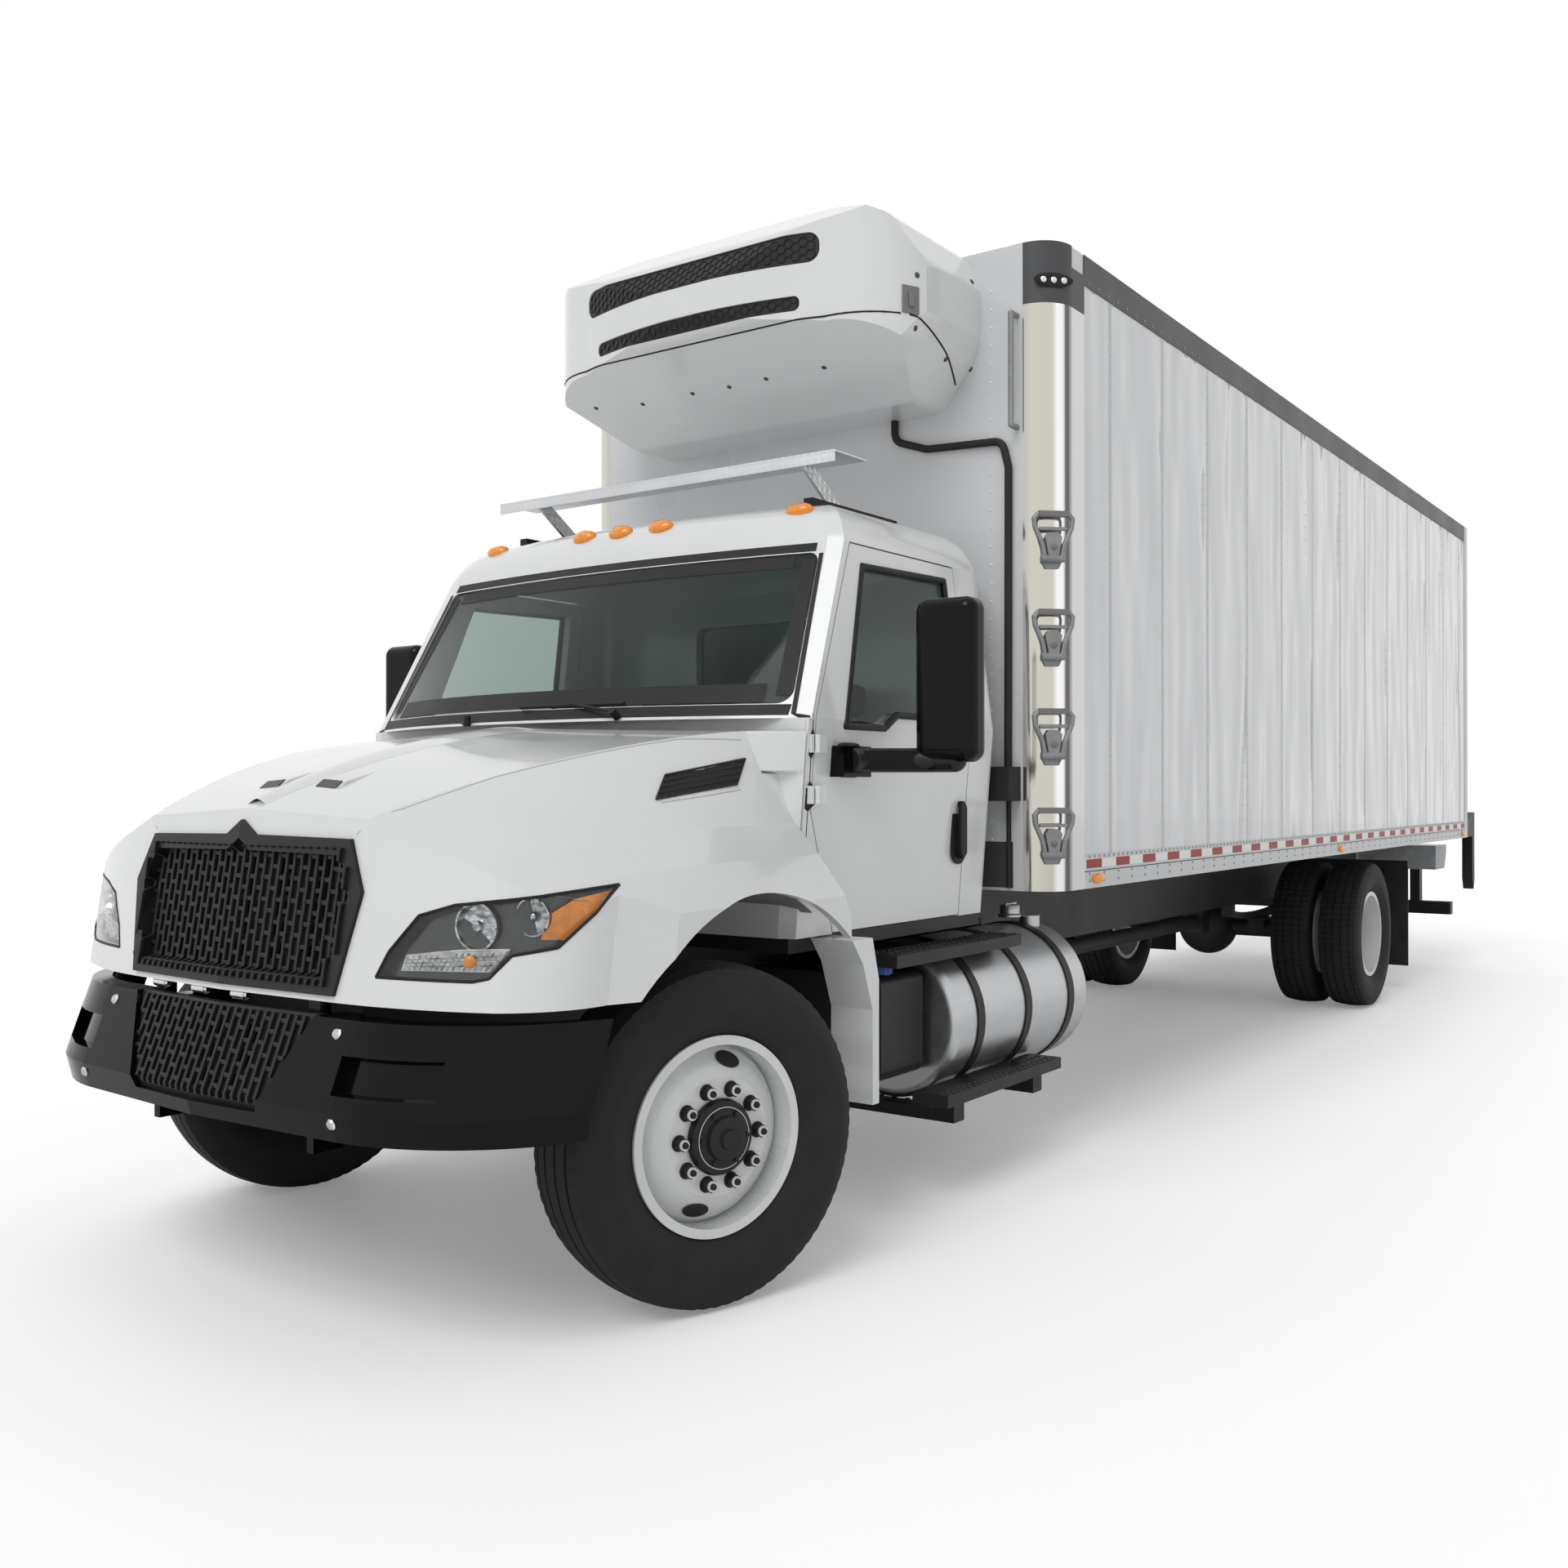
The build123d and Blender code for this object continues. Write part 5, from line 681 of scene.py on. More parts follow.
for side, name in SIDES:
    aim = Vector((LAMP_AIM.x, side * LAMP_AIM.y, 0))
    lens = Pile()
    lens.bm = lamp_skin(side, 0.0)
    rim_edges = [[v.co.copy() for v in e.verts] for e in lens.bm.edges if len(e.link_faces) == 1]
    lens_piece = lens.done(f"lamp_lens_{name}", "hood", "lamp_lens", lens_clear)
    solid(lens_piece, LENS_THICK)
    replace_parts(lens_piece, "headlamps")
    pan = Pile()
    pan.bm = lamp_skin(side, PAN_DEPTH)
    solid(pan.done(f"lamp_pan_{name}", "hood", "dark_plastic", pan_grey), LENS_THICK)
    seal = Pile()
    for start, end in rim_edges:
        if (end - start).length > 0.0005:
            seal.rod(start - aim * 0.002, end - aim * 0.002, 0.005, 6)
    seal.done(f"lamp_seal_{name}", "hood", "dark_plastic", trim_black)
    bowls = Pile()
    for pixel, radius in BOWLS:
        spot = sighted("headlamps", pixel, side)[0] - aim * BOWL_DEPTH
        place = facing(spot, (1.0, side * 0.25, -0.02))
        bowls.lathe([(radius * share, along) for share, along in BOWL_OUTLINE], place, 40)
    bowls.done(f"lamp_bowls_{name}", "hood", "bright_metal", bowl_metal)
    for pixels, label, mat, slot in ((AMBER_PIXELS, "amber", amber_lens, "amber_lens"),
                                     (STRIP_PIXELS, "strip", strip_clear, "lamp_lens")):
        face = Pile()
        points = [sighted("headlamps", pixel, side)[0] for pixel in pixels]
        face.plate([point - aim * FACE_DEPTH for point in points], aim * FACE_THICK)
        face.done(f"lamp_{label}_{name}", "hood", slot, mat, 0.002)
    ribs_pile = Pile()
    corners = [sighted("headlamps", pixel, side)[0] - aim * RIB_INSET for pixel in STRIP_CORNERS]
    left, right, left_top, right_top = corners
    for share in even(STRIP_BARS):
        ribs_pile.rod(left.lerp(right, share), left_top.lerp(right_top, share), 0.0022, 6)
    for share in (0.25, 0.5, 0.75):
        ribs_pile.rod(left.lerp(left_top, share), right.lerp(right_top, share), 0.002, 6)
    ribs_pile.done(f"lamp_ribs_{name}", "hood", "bright_metal", bowl_metal)
    bead = Pile()
    bead.dome(sighted("headlamps", BEAD_PIXEL, side)[0] - aim * BEAD_DEPTH, aim, 0.017, 0.008, 20)
    bead.done(f"lamp_bead_{name}", "hood", "amber_lens", amber_lens)

# Hood: side vents with louvres. Bumper: bolts
VENT_PIXELS = [(803, 979), (814, 950), (912, 930), (902, 961)]
VENT_ROWS = 4
VENT_BARS = 6
for side, name in SIDES:
    corners = [sighted("hood_shell", pixel, side)[0] for pixel in VENT_PIXELS]
    out = sighted("hood_shell", VENT_PIXELS[0], side)[1]
    panel = Pile()
    panel.plate([corner - out * 0.004 for corner in corners], out * 0.007)
    panel.done(f"vent_back_{name}", "hood", "dark_plastic", trim_black, 0.003)
    louvres = Pile()
    low, high = (corners[0], corners[3]), (corners[1], corners[2])
    for share in even(VENT_ROWS):
        start, end = [low[end].lerp(high[end], share) + out * 0.004 for end in (0, 1)]
        louvres.rod(start, end, 0.004, 8)
    for share in even(VENT_BARS):
        start, end = [row[0].lerp(row[1], share) + out * 0.003 for row in (low, high)]
        louvres.rod(start, end, 0.003, 8)
    louvres.done(f"vent_louvres_{name}", "hood", "dark_plastic", dark_plastic)

BOLT_PIXELS = [(413, 1266), (406, 1377)]
bolts = Pile()
for pixel in BOLT_PIXELS:
    for side in (1, -1):
        bolts.dome(*sighted("front_bumper", pixel, side), 0.016, 0.009, 20)
bolts.done("bumper_bolts", "chassis", "bright_metal", bright_metal)


# Windscreen: printed border, dark head and wipers
def ahead_of(node, y, z):
    """Point and normal on a node's front at a place in front view."""
    point, normal, index, distance = surface(node).ray_cast(Vector((9.0, y, z)), Vector((-1, 0, 0)))
    return point, normal


def front_strip(pile, node, path_low, path_high, lift=0.0015):
    """A ribbon on a node's front between two rows of (Y, Z) places."""
    rows = []
    for places in zip(path_high, path_low):
        found = [ahead_of(node, y, z) for y, z in places]
        if all(point is not None for point, normal in found):
            rows.append([point + normal * lift for point, normal in found])
    pile.grid(rows)


SCREEN_LOW = 1.84
SCREEN_HIGH = 2.38
SCREEN_HALF_LOW = 1.017
SCREEN_HALF_HIGH = 0.938
BORDER = 0.05
SPAN_STEPS = 24
STRIP_THICK = 0.001
HEAD_LEVELS = (2.389, 2.405, 2.421, 2.437)
WIPER_PIXELS = [((640, 872), (768, 866)), ((520, 882), (587, 876))]
WIPER_LIFT = 0.016
WIPER_FOOT = Vector((0.06, 0.0, -0.03))


def screen_half(z):
    """Half width of the windscreen at a height."""
    return between((SCREEN_HALF_LOW, SCREEN_HALF_HIGH), (z - SCREEN_LOW) / (SCREEN_HIGH - SCREEN_LOW))


def strip_across(pile, node, z_low, z_high, half=screen_half):
    """A ribbon across a node's front, half(z) wide to each side."""
    shares = even(SPAN_STEPS)
    front_strip(pile, node, *[[((2 * share - 1) * half(z), z) for share in shares] for z in (z_low, z_high)])


def strips_upright(pile, node, z_low, near, far):
    """Ribbons along the windscreen's two sides, between two offsets from its edge."""
    levels = [between((z_low, SCREEN_HIGH), share) for share in even(SPAN_STEPS)]
    for side in (1, -1):
        front_strip(pile, node, *[[(side * (screen_half(z) + shift), z) for z in levels] for shift in (near, far)])


border = Pile()
strip_across(border, "cab_glass", SCREEN_LOW, SCREEN_LOW + BORDER * 1.3)
strip_across(border, "cab_glass", SCREEN_HIGH - BORDER, SCREEN_HIGH)
strips_upright(border, "cab_glass", SCREEN_LOW, 0.0, -BORDER)
solid(border.done("screen_border", "chassis", "dark_plastic", trim_black), STRIP_THICK)

head = Pile()
for z_low, z_high in zip(HEAD_LEVELS, HEAD_LEVELS[1:]):
    strip_across(head, "cab_front", z_low, z_high)
solid(head.done("screen_head", "chassis", "dark_plastic", trim_black), STRIP_THICK)

wipers = Pile()
for start_pixel, end_pixel in WIPER_PIXELS:
    start, start_normal = seen("cab_glass", start_pixel)
    end = seen("cab_glass", end_pixel)[0]
    lift = start_normal * WIPER_LIFT
    wipers.rod(start + lift, end + lift, 0.007, 8)
    middle = (start + end) / 2 + lift * 1.5
    foot = end + WIPER_FOOT
    wipers.rod(middle, foot + lift, 0.006, 8)
    wipers.rod(foot - lift, foot + lift * 1.4, 0.014, 14)
wipers.done("wipers", "chassis", "dark_plastic", trim_black)

# Doors: window surround, pull handle and mirror glasses
HANDLE_PIXEL = (1173, 1016)
HANDLE_HALF = (0.055, 0.135)
GRIP_HALF = (0.024, 0.105)
GRIP_SHIFT = 0.006
GRIP_POST = 0.1
SEAL_RADIUS = 0.013
SEAL_REACH = 0.03
MIRROR_Y = 1.4025
MIRROR_HALF = 0.095
MIRROR_GLASSES = ((1.675, 1.83), (1.85, 2.165))
WINDOW = [(-0.675, 1.765), (-0.890, 2.345), (-1.480, 2.360), (-1.480, 1.815), (-1.010, 1.815), (-0.930, 1.765)]


def capsule(half_width, half_height, count=10):
    """Points round an upright oblong with round ends."""
    points = []
    for end in (1, -1):
        for step in range(count + 1):
            angle = math.pi * step / count + (0 if end > 0 else math.pi)
            rise = end * (half_height - half_width)
            points.append((half_width * math.cos(angle), rise + half_width * math.sin(angle)))
    return points


handle_spot = seen("door_left", HANDLE_PIXEL)[0]
for side, name in SIDES:
    body = f"door_{name}"
    out = Vector((0, side, 0))
    spot = beside(body, handle_spot.x, handle_spot.z, side)[0]
    handle = Pile()
    handle.plate([spot + Vector((x, 0, z)) - out * 0.003 for x, z in capsule(*HANDLE_HALF)], out * 0.008)
    grip = spot + Vector((GRIP_SHIFT, 0, 0))
    handle.plate([grip + Vector((x, 0, z)) + out * 0.018 for x, z in capsule(*GRIP_HALF)], out * 0.014)
    for rise in (GRIP_POST, -GRIP_POST):
        foot = grip + Vector((0, 0, rise))
        handle.rod(foot, foot + out * 0.03, 0.012, 12)
    handle.done(f"pull_{name}", body, "dark_plastic", trim_black, 0.002)
    surround = Pile()
    ring = []
    centre = Vector((sum(x for x, z in WINDOW) / len(WINDOW), sum(z for x, z in WINDOW) / len(WINDOW)))
    for x, z in WINDOW:
        away = Vector((x, z)) - centre
        far = Vector((x, z)) + away.normalized() * SEAL_REACH
        point, normal = beside(body, FX + far.x, far.y, side)
        ring.append(Vector((FX + x, point.y, z)))
    for start, end in zip(ring, ring[1:] + ring[:1]):
        surround.rod(start, end, SEAL_RADIUS, 10)
    for point in ring:
        surround.ball(point, SEAL_RADIUS, 10)
    surround.done(f"window_seal_{name}", body, "dark_plastic", trim_black)
    low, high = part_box(f"mirror_{name}")
    glasses = Pile()
    y = side * MIRROR_Y
    for z_low, z_high in MIRROR_GLASSES:
        glasses.box((low[0] - 0.002, y - MIRROR_HALF, z_low), (low[0] + 0.003, y + MIRROR_HALF, z_high))
    glasses.done(f"mirror_glass_{name}", body, "bright_metal", mirror_glass, 0.0015)

# Cooling unit: honeycomb in its grilles, shell seam, latch, screws and dimples
CELL = 0.02
UNIT_HALF = 0.945
CELL_ROD = 0.0022
GRILLE_AREAS = [(0.62, 3.625, 3.745), (0.54, 3.44, 3.50)]
SEAM_FRONT_Z = 3.405
SEAM_STEPS = 44
SEAM_SIDE_X = 0.5
SEAM_SIDE_STEPS = 16
SEAM_DROP = 0.15
LATCH_PIXEL = (1115, 367)
SCREW_PIXELS = [(1123, 337), (1121, 402), (1190, 345), (1192, 455), (1158, 440)]
DIMPLE_PIXELS = [(848, 482), (893, 474), (938, 464), (1009, 450), (787, 495), (730, 500)]
honeycomb = Pile()
for half, z_low, z_high in GRILLE_AREAS:
    columns = int(2 * half / (CELL * 1.5)) + 1
    rows = int((z_high - z_low) / (CELL * math.sqrt(3))) + 1
    for column in range(columns):
        for row in range(rows):
            y = -half + column * CELL * 1.5
            z = z_low + (row + 0.5 * (column % 2)) * CELL * math.sqrt(3)
            ring = [ahead_of("reefer_grilles", y + corner.x, z + corner.y)[0] for corner in around(CELL, 6)[:4]]
            for start, end in zip(ring, ring[1:]):
                if start is not None and end is not None and (end - start).length < CELL * 1.6:
                    honeycomb.rod(start + Vector((0.002, 0, 0)), end + Vector((0.002, 0, 0)), CELL_ROD, 5)
honeycomb.done("unit_honeycomb", "chassis", "dark_plastic", dark_plastic)

seam = Pile()
edges = [[ahead_of("reefer_case", UNIT_HALF * (2 * share - 1), SEAM_FRONT_Z)[0] for share in even(SEAM_STEPS)]]
places = [(BOX_FRONT + SEAM_SIDE_X * (1 - share) + 0.03, SEAM_FRONT_Z - SEAM_DROP * share ** 1.5)
          for share in even(SEAM_SIDE_STEPS)]
for side in (1, -1):
    edges.append([beside("reefer_case", x, z, side)[0] for x, z in places])
for edge in edges:
    seam.tube([spot for spot in edge if spot is not None], 0.004, 8)
seam.done("unit_seam", "chassis", "dark_plastic", trim_black)

fittings = Pile()
for pixels, radius, height in ((SCREW_PIXELS, 0.012, 0.005), (DIMPLE_PIXELS, 0.011, 0.004)):
    for pixel in pixels:
        fittings.dome(*seen("reefer_case", pixel), radius, height, 16)
fittings.done("unit_screws", "chassis", "grey_rail", cap_grey)
latch = Pile()
place = facing(*seen("reefer_case", LATCH_PIXEL))
latch.box((-0.04, -0.055, -0.002), (0.04, 0.055, 0.004), place)
latch.box((-0.012, -0.03, 0.004), (0.012, 0.03, 0.014), place)
latch.done("unit_latch", "chassis", "dark_plastic", trim_grey, 0.003)

# Fluid tank: blue cap with a ribbed edge
FLUID_CAP = (FX - 1.13, 0.96, 0.86)
cap = Pile()
place = Matrix.Translation(FLUID_CAP)
cap.lathe([(0.044, 0.0), (0.044, 0.03), (0.04, 0.037), (0.012, 0.039)], place, 28)
for spot in around(0.044, 14, 0.003):
    cap.rod(place @ spot, place @ (spot + Vector((0, 0, 0.028))), 0.003, 6)
cap.done("fluid_cap", "chassis", "dark_plastic", cap_blue)

# Front wall: grey foot strip
FOOT_HALF = 1.1
FOOT_Z = (1.14, 1.33)
strip = Pile()
strip.box((BOX_FRONT - 0.001, -FOOT_HALF, FOOT_Z[0]), (BOX_FRONT + 0.0015, FOOT_HALF, FOOT_Z[1]))
strip.done("front_wall_strip", "chassis", "grey_rail", cap_grey, 0.0005)

# Rear: red tail lenses over the lamps
TAIL_Y = (1.0, 1.16)
TAIL_Z = (1.155, 1.24)
TAIL_DEPTH = 0.025


def tail_boxes(pile, inset, proud, back):
    """A box on each tail lamp's place, smaller by an inset, proud of the housing, ending at a distance back."""
    for side in (1, -1):
        y_low, y_high = sorted((side * (TAIL_Y[0] + inset), side * (TAIL_Y[1] - inset)))
        pile.box((BOX_REAR - TAIL_DEPTH - proud, y_low, TAIL_Z[0] + inset),
                 (BOX_REAR - back, y_high, TAIL_Z[1] - inset))


tail = Pile()
tail_boxes(tail, 0.002, 0.0025, 0.004)
tail.done("tail_lenses", "chassis", "amber_lens", red_lens, 0.004)

# Cab steps: rows of raised grip studs
GRIP_PITCH = 0.042
GRIP_ROWS = (0.72, 0.78, 0.84, 0.9, 0.96, 1.02, 1.08, 1.13, 1.17, 1.2)


def over(node, x, y):
    """Point and normal on a node's top at a place in plan view."""
    point, normal, index, distance = surface(node).ray_cast(Vector((x, y, 6.0)), Vector((0, 0, -1)))
    return point, normal


low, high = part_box("cab_steps")
for side, name in SIDES:
    grips = Pile()
    x = low[0] + 0.05
    while x < high[0] - 0.05:
        for y in GRIP_ROWS:
            point, normal = over("cab_steps", x, side * y)
            if point is not None and normal.z > 0.9:
                grips.lathe([(0.011, -0.0005), (0.011, 0.003), (0.007, 0.004)], Matrix.Translation(point), 10)
        x += GRIP_PITCH
    grips.done(f"step_grips_{name}", "chassis", "black_paint", cast_metal)

# Grilles: upright ribs joined by staggered links
RIB_PITCH = 0.033
RIB_WIDTH = 0.011
RIB_DEPTH = 0.014
LINK_PITCH = 0.064
LINK_HEIGHT = 0.014
RIB_STEP = 0.015
GRILLE_RIM = 0.026
FACE_SHIFTS = (0.0, 0.012, -0.012)


def floor_of(node, y, z):
    """Foremost X of a slotted face near a place in front view."""
    found = [ahead_of(node, y + shift, z)[0] for shift in FACE_SHIFTS]
    found = [point.x for point in found if point is not None]
    return max(found) if found else None


def swept_bar(pile, points, wide, deep):
    """A bar of rectangular section along points, laid between two offset vectors."""
    pile.hull([(point - wide, point + wide, point + wide + deep, point - wide + deep) for point in points])


def lattice(node, low, high, half_at):
    """Ribs and links over a grille's field, which is half_at(z) wide to each side."""
    pile = Pile()
    columns = int(max(half_at(low), half_at((low + high) / 2), half_at(high)) / RIB_PITCH)
    levels = [low + RIB_STEP * step for step in range(int((high - low) / RIB_STEP))] + [high]
    for column in range(-columns, columns + 1):
        y = column * RIB_PITCH
        points = []
        for z in levels:
            x = floor_of(node, y, z)
            if x is not None and half_at(z) >= abs(y):
                points.append(Vector((x - 0.002, y, z)))
        if len(points) > 1:
            swept_bar(pile, points, Vector((0, RIB_WIDTH / 2, 0)), Vector((RIB_DEPTH, 0, 0)))
        z = low + (0.5 if column % 2 else 1.0) * LINK_PITCH
        while z < high - LINK_HEIGHT:
            x = floor_of(node, y + RIB_PITCH / 2, z)
            if x is not None and half_at(z) >= abs(y + RIB_PITCH):
                pile.box((x - 0.002, y, z - LINK_HEIGHT / 2),
                         (x + RIB_DEPTH * 0.7, y + RIB_PITCH, z + LINK_HEIGHT / 2))
            z += LINK_PITCH
    return pile


def hood_field(z):
    """Half width of the hood grille's field at a height."""
    if z < 1.265:
        return 0.5 + 0.06 * (z - 0.98) / 0.285 - GRILLE_RIM
    return 0.56 - 0.07 * (z - 1.265) / 0.145 - GRILLE_RIM


def insert_field(z):
    """Half width of the bumper grille at a height."""
    return 0.3 + 0.15 * (z - 0.655) / 0.28 - 0.016


hood_lattice = lattice("hood_grille", 1.004, 1.386, hood_field)
hood_lattice.done("hood_lattice", "hood", "dark_plastic", dark_plastic, 0.002)
bumper_lattice = lattice("bumper_grille", 0.675, 0.918, insert_field)
bumper_lattice.done("bumper_lattice", "chassis", "dark_plastic", dark_plastic, 0.002)

# Folding steps on the left front post: a stirrup loop hinged on a bracket, with the grab handle above
CORNER_RADIUS = 0.15
POST_EDGE = 1.1455
STEP_HEIGHTS = (2.565, 2.165, 1.76, 1.355)
LOOP = [(-0.034, -0.085), (-0.046, -0.02), (-0.078, 0.05), (-0.082, 0.085), (-0.066, 0.104), (0.066, 0.104),
        (0.082, 0.085), (0.078, 0.05), (0.046, -0.02), (0.034, -0.085)]
BRACKET = [(-0.03, -0.115), (0.03, -0.115), (0.042, -0.09), (0.042, 0.0), (-0.042, 0.0), (-0.042, -0.09)]
TONGUE = [(-0.022, -0.07), (0.022, -0.07), (0.036, 0.01), (0.02, 0.03), (-0.02, 0.03), (-0.036, 0.01)]
GRAB_Y = 1.12
GRAB_Z = (3.04, 3.5)
GRAB_REACH = 0.055
LOOP_RADIUS = 0.0105
LOOP_PROUD = 0.026
post_out = Vector((math.cos(math.pi / 4), math.sin(math.pi / 4), 0))
post_along = Vector((-math.sin(math.pi / 4), math.cos(math.pi / 4), 0))
post_spot = Vector((BOX_FRONT - CORNER_RADIUS, POST_EDGE, 0)) + post_out * CORNER_RADIUS
post_turn = Matrix((post_along, Vector((0, 0, 1)), post_out)).transposed().to_4x4()
steps = Pile()
pads = Pile()
for height in STEP_HEIGHTS:
    place = Matrix.Translation(post_spot + Vector((0, 0, height))) @ post_turn
    steps.tube([place @ Vector((across_loop, rise, LOOP_PROUD)) for across_loop, rise in LOOP], LOOP_RADIUS, 12)
    steps.box((-0.06, 0.038, LOOP_PROUD - 0.008), (0.06, 0.052, LOOP_PROUD + 0.006), place)
    steps.plate([place @ Vector((x, z, -0.012)) for x, z in BRACKET], post_out * 0.022)
    steps.rod(place @ Vector((-0.05, -0.075, 0.02)), place @ Vector((0.05, -0.075, 0.02)), 0.016, 18)
    steps.plate([place @ Vector((x, z, 0.01)) for x, z in TONGUE], post_out * 0.024)
    pads.box((-0.064, 0.094, LOOP_PROUD - 0.013), (0.064, 0.117, LOOP_PROUD + 0.013), place)
    pads.dome(place @ Vector((0, -0.03, 0.034)), post_out, 0.014, 0.006, 16)
grab = [(0, GRAB_Z[0]), (GRAB_REACH, GRAB_Z[0]), (GRAB_REACH, GRAB_Z[1]), (0, GRAB_Z[1])]
steps.tube([Vector((BOX_FRONT + reach, GRAB_Y, z)) for reach, z in grab], 0.012, 14)
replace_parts(steps.done("fold_steps", "chassis", "grey_rail", step_grey, 0.002), "climbing_steps")
pads.done("fold_step_pads", "chassis", "dark_plastic", trim_grey, 0.002)

# Hood: raised middle band and twin scoops, with a dark plate of painted shade in each scoop's mouth
RIDGE_X = (FX + 0.86, FX - 0.42)
RIDGE_HALF = (0.045, 0.2)
RIDGE_RISE = 0.014
RIDGE_STEPS = 24
RIDGE_SECTION = [(-1.0, -0.002), (-0.75, 0.35), (-0.4, 0.8), (0.0, 1.0), (0.4, 0.8), (0.75, 0.35), (1.0, -0.002)]
ridge = Pile()
rows = []
for share in even(RIDGE_STEPS):
    x = between(RIDGE_X, share)
    half = between(RIDGE_HALF, share)
    rise = RIDGE_RISE * (1 - share) ** 0.7
    feet = [over("hood_shell", x, offset * half)[0] for offset, lift in RIDGE_SECTION]
    if None not in feet:
        lifts = [Vector((0, 0, lift * rise + 0.0006)) for offset, lift in RIDGE_SECTION]
        rows.append([foot + lift for foot, lift in zip(feet, lifts)])
ridge.grid(rows)
solid(ridge.done("hood_ridge", "hood", "white_paint", white_paint, 0.0, 60.0), 0.002)

SCOOP_X = (FX + 0.72, FX + 0.5)
SCOOP_Y = (0.085, 0.2)
SCOOP_RISE = 0.022
scoops = Pile()
mouths = Pile()
for side in (1, -1):
    front, rear = [[over("hood_shell", x, side * y)[0] for y in SCOOP_Y] for x in SCOOP_X]
    top = [point + Vector((-0.03, 0, SCOOP_RISE)) for point in front]
    foot = [point + Vector((0, 0, -0.004)) for point in front + rear]
    scoops.hull([(foot[0], top[0], foot[2]), (foot[1], top[1], foot[3])])
    inner = [ends[0].lerp(ends[1], share) for ends, share in ((front, 0.1), (front, 0.9), (top, 0.9), (top, 0.1))]
    # Painted shade: a dark plate in the scoop's mouth
    mouths.plate([point + Vector((0.001, 0, 0)) for point in inner], Vector((0.0015, 0, 0.001)))
scoops.done("hood_scoops", "hood", "white_paint", white_paint, 0.004)
mouths.done("hood_scoop_mouth_shade", "hood", "dark_plastic", cap_grey)

# Cowl: black strip between the hood and the windscreen
COWL_HALF = 1.03
cowl = Pile()
strip_across(cowl, "cab_front", 1.795, 1.832, lambda z: COWL_HALF)
solid(cowl.done("cowl_strip", "chassis", "dark_plastic", trim_black), STRIP_THICK)

# Front corner caps of the box: a dark lamp recess with three small lamps
CAP_PIXEL = (1290, 343)
for side, name in SIDES:
    spot, normal = sighted("box_top_rails", CAP_PIXEL, side)
    place = facing(spot, normal)
    recess = Pile()
    recess.lathe([(1.0, -0.002), (1.0, 0.003), (0.86, 0.005), (0.3, 0.005)],
                 place @ Matrix.Diagonal((0.085, 0.03, 1, 1)), 32)
    recess.done(f"cap_recess_{name}", "chassis", "dark_plastic", trim_black)
    lamps = Pile()
    for shift in (-0.045, 0.0, 0.045):
        lamps.dome(place @ Vector((shift, 0, 0.004)), normal, 0.013, 0.006, 14)
    lamps.done(f"cap_lamps_{name}", "chassis", "lamp_lens", mirror_glass)

# Fuel tank: filler cap on the top, rear of the upper tread
low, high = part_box("fuel_tank")
filler = Pile()
place = Matrix.Translation((low[0] + 0.17, (low[1] + high[1]) / 2, high[2] - 0.006))
filler.lathe([(0.052, 0.0), (0.052, 0.012), (0.044, 0.016), (0.044, 0.05), (0.04, 0.056), (0.01, 0.058)], place, 32)
filler.box((-0.05, -0.008, 0.05), (0.05, 0.008, 0.064), place)
filler.done("tank_filler", "chassis", "tank_metal", tank_metal, 0.002)

# Rear door: lock bar with its handle, latch plate, and hinges between the slats
DOOR_FACE = BOX_REAR + 0.03
HINGE_ROWS = (-1.02, -0.35, 0.35, 1.02)
SLAT_LOW = 1.29
SLAT_PITCH = 0.2925
SLAT_COUNT = 8
PULL = [(0.004, -0.07), (0.026, -0.07), (0.026, 0.07), (0.004, 0.07)]
PULL_Z = 1.445


def door_plate(pile, y, half, z_low, z_high, proud):
    """A plate on the rear door."""
    pile.box((DOOR_FACE - proud, y - half, z_low), (DOOR_FACE + 0.002, y + half, z_high))


lock = Pile()
door_plate(lock, 0.0, 0.22, 1.42, 1.47, 0.012)
lock.tube([Vector((DOOR_FACE - proud, y, PULL_Z)) for proud, y in PULL], 0.009, 12)
door_plate(lock, 0.0, 0.06, 1.31, 1.4, 0.02)
for y in HINGE_ROWS:
    for slat in range(1, SLAT_COUNT):
        z = SLAT_LOW + slat * SLAT_PITCH
        door_plate(lock, y, 0.025, z - 0.06, z + 0.06, 0.006)
lock.done("rear_door_hardware", "chassis", "bright_metal", grey_rail, 0.002)

# Roof lamps: low amber ovals on the roof's front edge, with the tail lamps' housings
MARKERS = [(-0.79, -0.85), (-0.2, -0.765), (0.0, -0.758), (0.2, -0.765), (0.79, -0.85)]
markers = Pile()
for y, x in MARKERS:
    spot, normal = over("cab_roof", FX + x, y)
    place = Matrix.Translation(spot) @ Matrix.Rotation(math.atan2(normal.x, normal.z), 4, "Y")
    markers.lathe([(1.0, -0.25), (1.0, 0.2), (0.9, 0.55), (0.6, 0.9), (0.2, 1.0)],
                  place @ Matrix.Diagonal((0.034, 0.058, 0.026, 1)), 28)
tail_boxes(markers, 0.0, 0.0, 0.0)
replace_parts(markers.done("lamps_seen", "chassis", "amber_lens", amber_lens, 0.002), "marker_lamps")

